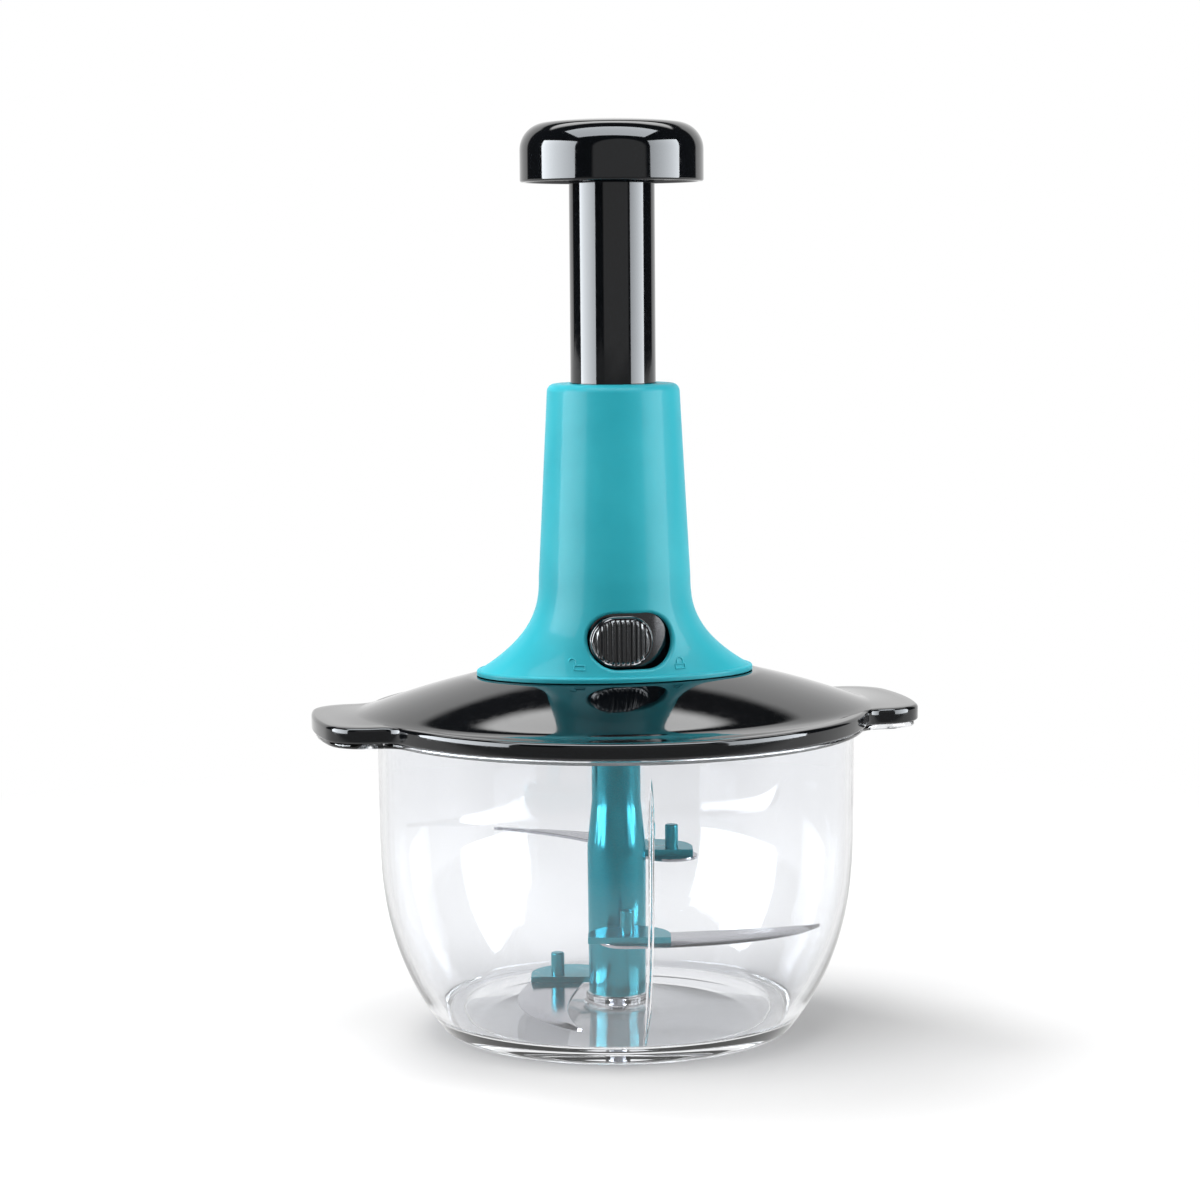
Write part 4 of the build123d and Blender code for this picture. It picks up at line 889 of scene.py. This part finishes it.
def blade_grid(height, heading, tip_gap, sweep, lift):
    """Heel arcs then the two edge curves, and at each row one turn round the section."""
    tip_radius = belly(height, inner_wall, floor_high) - tip_gap
    tip = (tip_radius * cos(radians(sweep)) - pin_circle, tip_radius * sin(radians(sweep)))
    heel = np.linspace(pi / 2, 0.0, 14)
    t = np.linspace(0.0, 1.0, 64)[1:]
    outer_curve = bezier([(heel_radius, 0), (heel_radius + 3.5, 0.5 * tip[1]),
                          (0.3 * tip[0] + 5.0, 0.85 * tip[1]), tip], t)
    inner_curve = bezier([(-heel_radius, 0), (-heel_radius - 0.5, 0.35 * tip[1]),
                          (0.25 * tip[0] - 5.0, 0.75 * tip[1]), tip], t)
    heel_outer = np.stack([heel_radius * np.cos(heel), -heel_radius * np.sin(heel)], axis=-1)
    outer = np.concatenate([heel_outer, outer_curve])
    inner = np.concatenate([heel_outer * [-1, 1], inner_curve])
    width = np.linalg.norm(outer - inner, axis=1)[:, None]
    ground = np.concatenate([0 * heel, smooth(0.0, grind_start, t)])[:, None]
    bevel = np.clip(bevel_width / np.maximum(width, 1e-6), 0.0, 0.6)
    small = np.clip(edge_break / np.maximum(width, 1e-6), 0.0, 0.3)
    lip_top = blade_thick - (blade_thick - lip_thick) * ground
    lip_in = small * (1 - ground)
    cross = [(0.0, 0.0), (0.0, lip_top - edge_break * (1 - ground)), (lip_in, lip_top),
             (np.maximum(bevel, small), blade_thick), (0.5, blade_thick), (1 - small, blade_thick),
             (1.0, blade_thick - edge_break), (1.0, edge_break), (1 - small, 0.0), (0.5, 0.0)]
    along = np.concatenate([0 * heel, t])[:, None]
    local = np.stack([
        np.concatenate([outer + (inner - outer) * inwards,
                        height - blade_thick + above + lift * along ** 2.5], axis=1)
        for inwards, above in cross
    ], axis=1)
    angle = blade_turn + radians(heading)
    u, v = local[..., 0] + pin_circle, local[..., 1]
    return np.stack([u * np.cos(angle) - v * np.sin(angle), u * np.sin(angle) + v * np.cos(angle),
                     local[..., 2]], axis=-1)


for arm_name, (height, heading, tip_gap, sweep, lift) in arms.items():
    blade = grid_mesh(f"{arm_name}_blade_skin", blade_grid(height, heading, tip_gap, sweep, lift),
                      wrap_columns=True)
    add_piece(f"{arm_name}_blade_skin", blade, "blade_unit", blade_steel, "blade_steel", f"{arm_name}_blade",
              sharp=25.0)

# %% [markdown]
# ## Blade carrier
# The shaft, its three arms and their posts keep their CAD shape, but a moulding has no razor edges: it shows
# thin bright lines where its edges are broken. So the CAD mesh is copied, its loose triangles are
# merged into whole faces, and a narrow bevel runs along every edge that turns by more than 35
# degrees.


# %% Edges on copies of CAD nodes
def merged_copy(name, node_name, flat_angle=None):
    """A copy of a CAD node's mesh with its points merged, and its flat faces joined where asked."""
    mesh = cad[node_name].data.copy()
    mesh.name = name
    mesh.materials.clear()
    with editing(mesh) as shape:
        bmesh.ops.remove_doubles(shape, verts=shape.verts, dist=merge_distance)
        if flat_angle:
            bmesh.ops.dissolve_limit(shape, angle_limit=radians(flat_angle), verts=shape.verts,
                                     edges=shape.edges)
    return mesh


def broken_edges(name, node_name, width, segments):
    """A merged copy of a node of the blade unit, bevelled wherever two faces meet at an angle."""
    mesh = merged_copy(name, node_name, flat_angle=0.5)
    piece = add_piece(name, mesh, "blade_unit", teal_lacquer, "teal_abs", node_name)
    bevel = piece.modifiers.new("broken edge", "BEVEL")
    bevel.width = width * MM
    bevel.segments = segments
    bevel.limit_method = "ANGLE"
    bevel.angle_limit = radians(35.0)
    bevel.harden_normals = True


broken_edges("blade_carrier", "blade_shaft", 0.3, 2)
for arm_name in arms:
    broken_edges(f"{arm_name}_post", f"{arm_name}_blade_pin", 0.35, 3)

# %% [markdown]
# ## Return spring
# The spring stands on its seat in the lid unit and carries the knob. It is a merged copy of the CAD
# spring, and rides on the lid unit.

# %% Return spring
spring_coil = add_piece("spring_coil", merged_copy("spring_coil", "return_spring"), "lid_unit", zinc_steel,
                        "plain_steel", "return_spring", sharp=60.0)
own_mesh(spring_coil)

# %% [markdown]
# ## Lock signs
# Two small padlocks stand 0.3 mm proud on the foot of the housing, an open one on the left and a
# closed one on the right. Each is a narrow bead along a path drawn flat, and then laid on the
# flare of the housing.

# %% Lock signs
housing_low, housing_high = corners_of("housing")
flare_low = housing_low[2] + 1.7
flare_height, flare_power = 29.0, 2.6
neck_radius = 24.1
base_long, base_short = housing_high[:2] - 1.3


def flare_front(x, z):
    """The housing's front face: an oval whose half axes shrink with the height to the power 2.6."""
    part = np.clip((z - flare_low) / flare_height, 0.0, 1.0)
    weight = (1 - part) ** flare_power
    long = neck_radius + (base_long - neck_radius) * weight
    short = neck_radius + (base_short - neck_radius) * weight
    return -short * np.sqrt(np.clip(1 - (x / long) ** 2, 0.0, 1.0))


def sign_grid(path, middle, width=0.42, proud=0.28, sunk=0.3):
    """A bead: across the path a half round section, its foot sunk a little into the housing."""
    path = np.array(path, dtype=float)
    ahead = np.gradient(path, axis=0)
    ahead /= np.linalg.norm(ahead, axis=1)[:, None]
    side = np.stack([-ahead[:, 1], ahead[:, 0]], axis=-1)
    turn = np.linspace(0.0, 2 * pi, 13)[:-1]
    offset = width / 2 * np.cos(turn)
    raised = np.where(np.sin(turn) > 0, proud * np.sin(turn), sunk * np.sin(turn))
    flat = middle + path[:, None, :] + side[:, None, :] * offset[None, :, None]
    x, z = flat[..., 0], flat[..., 1]
    points = np.stack([x, flare_front(x, z) - raised[None, :], z], axis=-1)
    ends = points[[0, -1]].mean(axis=1, keepdims=True) + 0 * points[[0, -1]]
    return np.concatenate([ends[:1], points, ends[1:]])


def dense(path, step=0.12):
    """The same path with points every 0.12 mm, so that it bends with the housing."""
    path = np.array(path, dtype=float)
    run = lengths(path)
    places = np.linspace(0.0, run[-1], int(run[-1] / step) + 2)
    return np.stack([np.interp(places, run, path[:, k]) for k in (0, 1)], axis=-1)


lock_body = dense([(-1.6, 0.0), (-1.6, -1.35), (1.6, -1.35), (1.6, 0.0), (-1.6, 0.0)])
closed_bow = dense(np.concatenate([[(-1.0, 0.0)], arc((0, 0.9), 1.0, pi, 0.0, 12), [(1.0, 0.0)]]))
open_bow = dense(np.concatenate([[(-0.9, 0.0)], arc((-1.9, 1.0), 1.0, 0.0, pi * 0.95, 12)]))
signs = [("open_lock_sign", (-16.6, 119.6), open_bow), ("closed_lock_sign", (15.4, 119.2), closed_bow)]
for sign, middle, bow in signs:
    body_mesh, bow_mesh = (grid_mesh(sign, sign_grid(path, np.array(middle)), wrap_columns=True)
                           for path in (lock_body, bow))
    with editing(body_mesh) as shape:
        shape.from_mesh(bow_mesh)
    add_piece(sign, body_mesh, "lid_unit", cyan_abs, "cyan_abs", sharp=60.0)
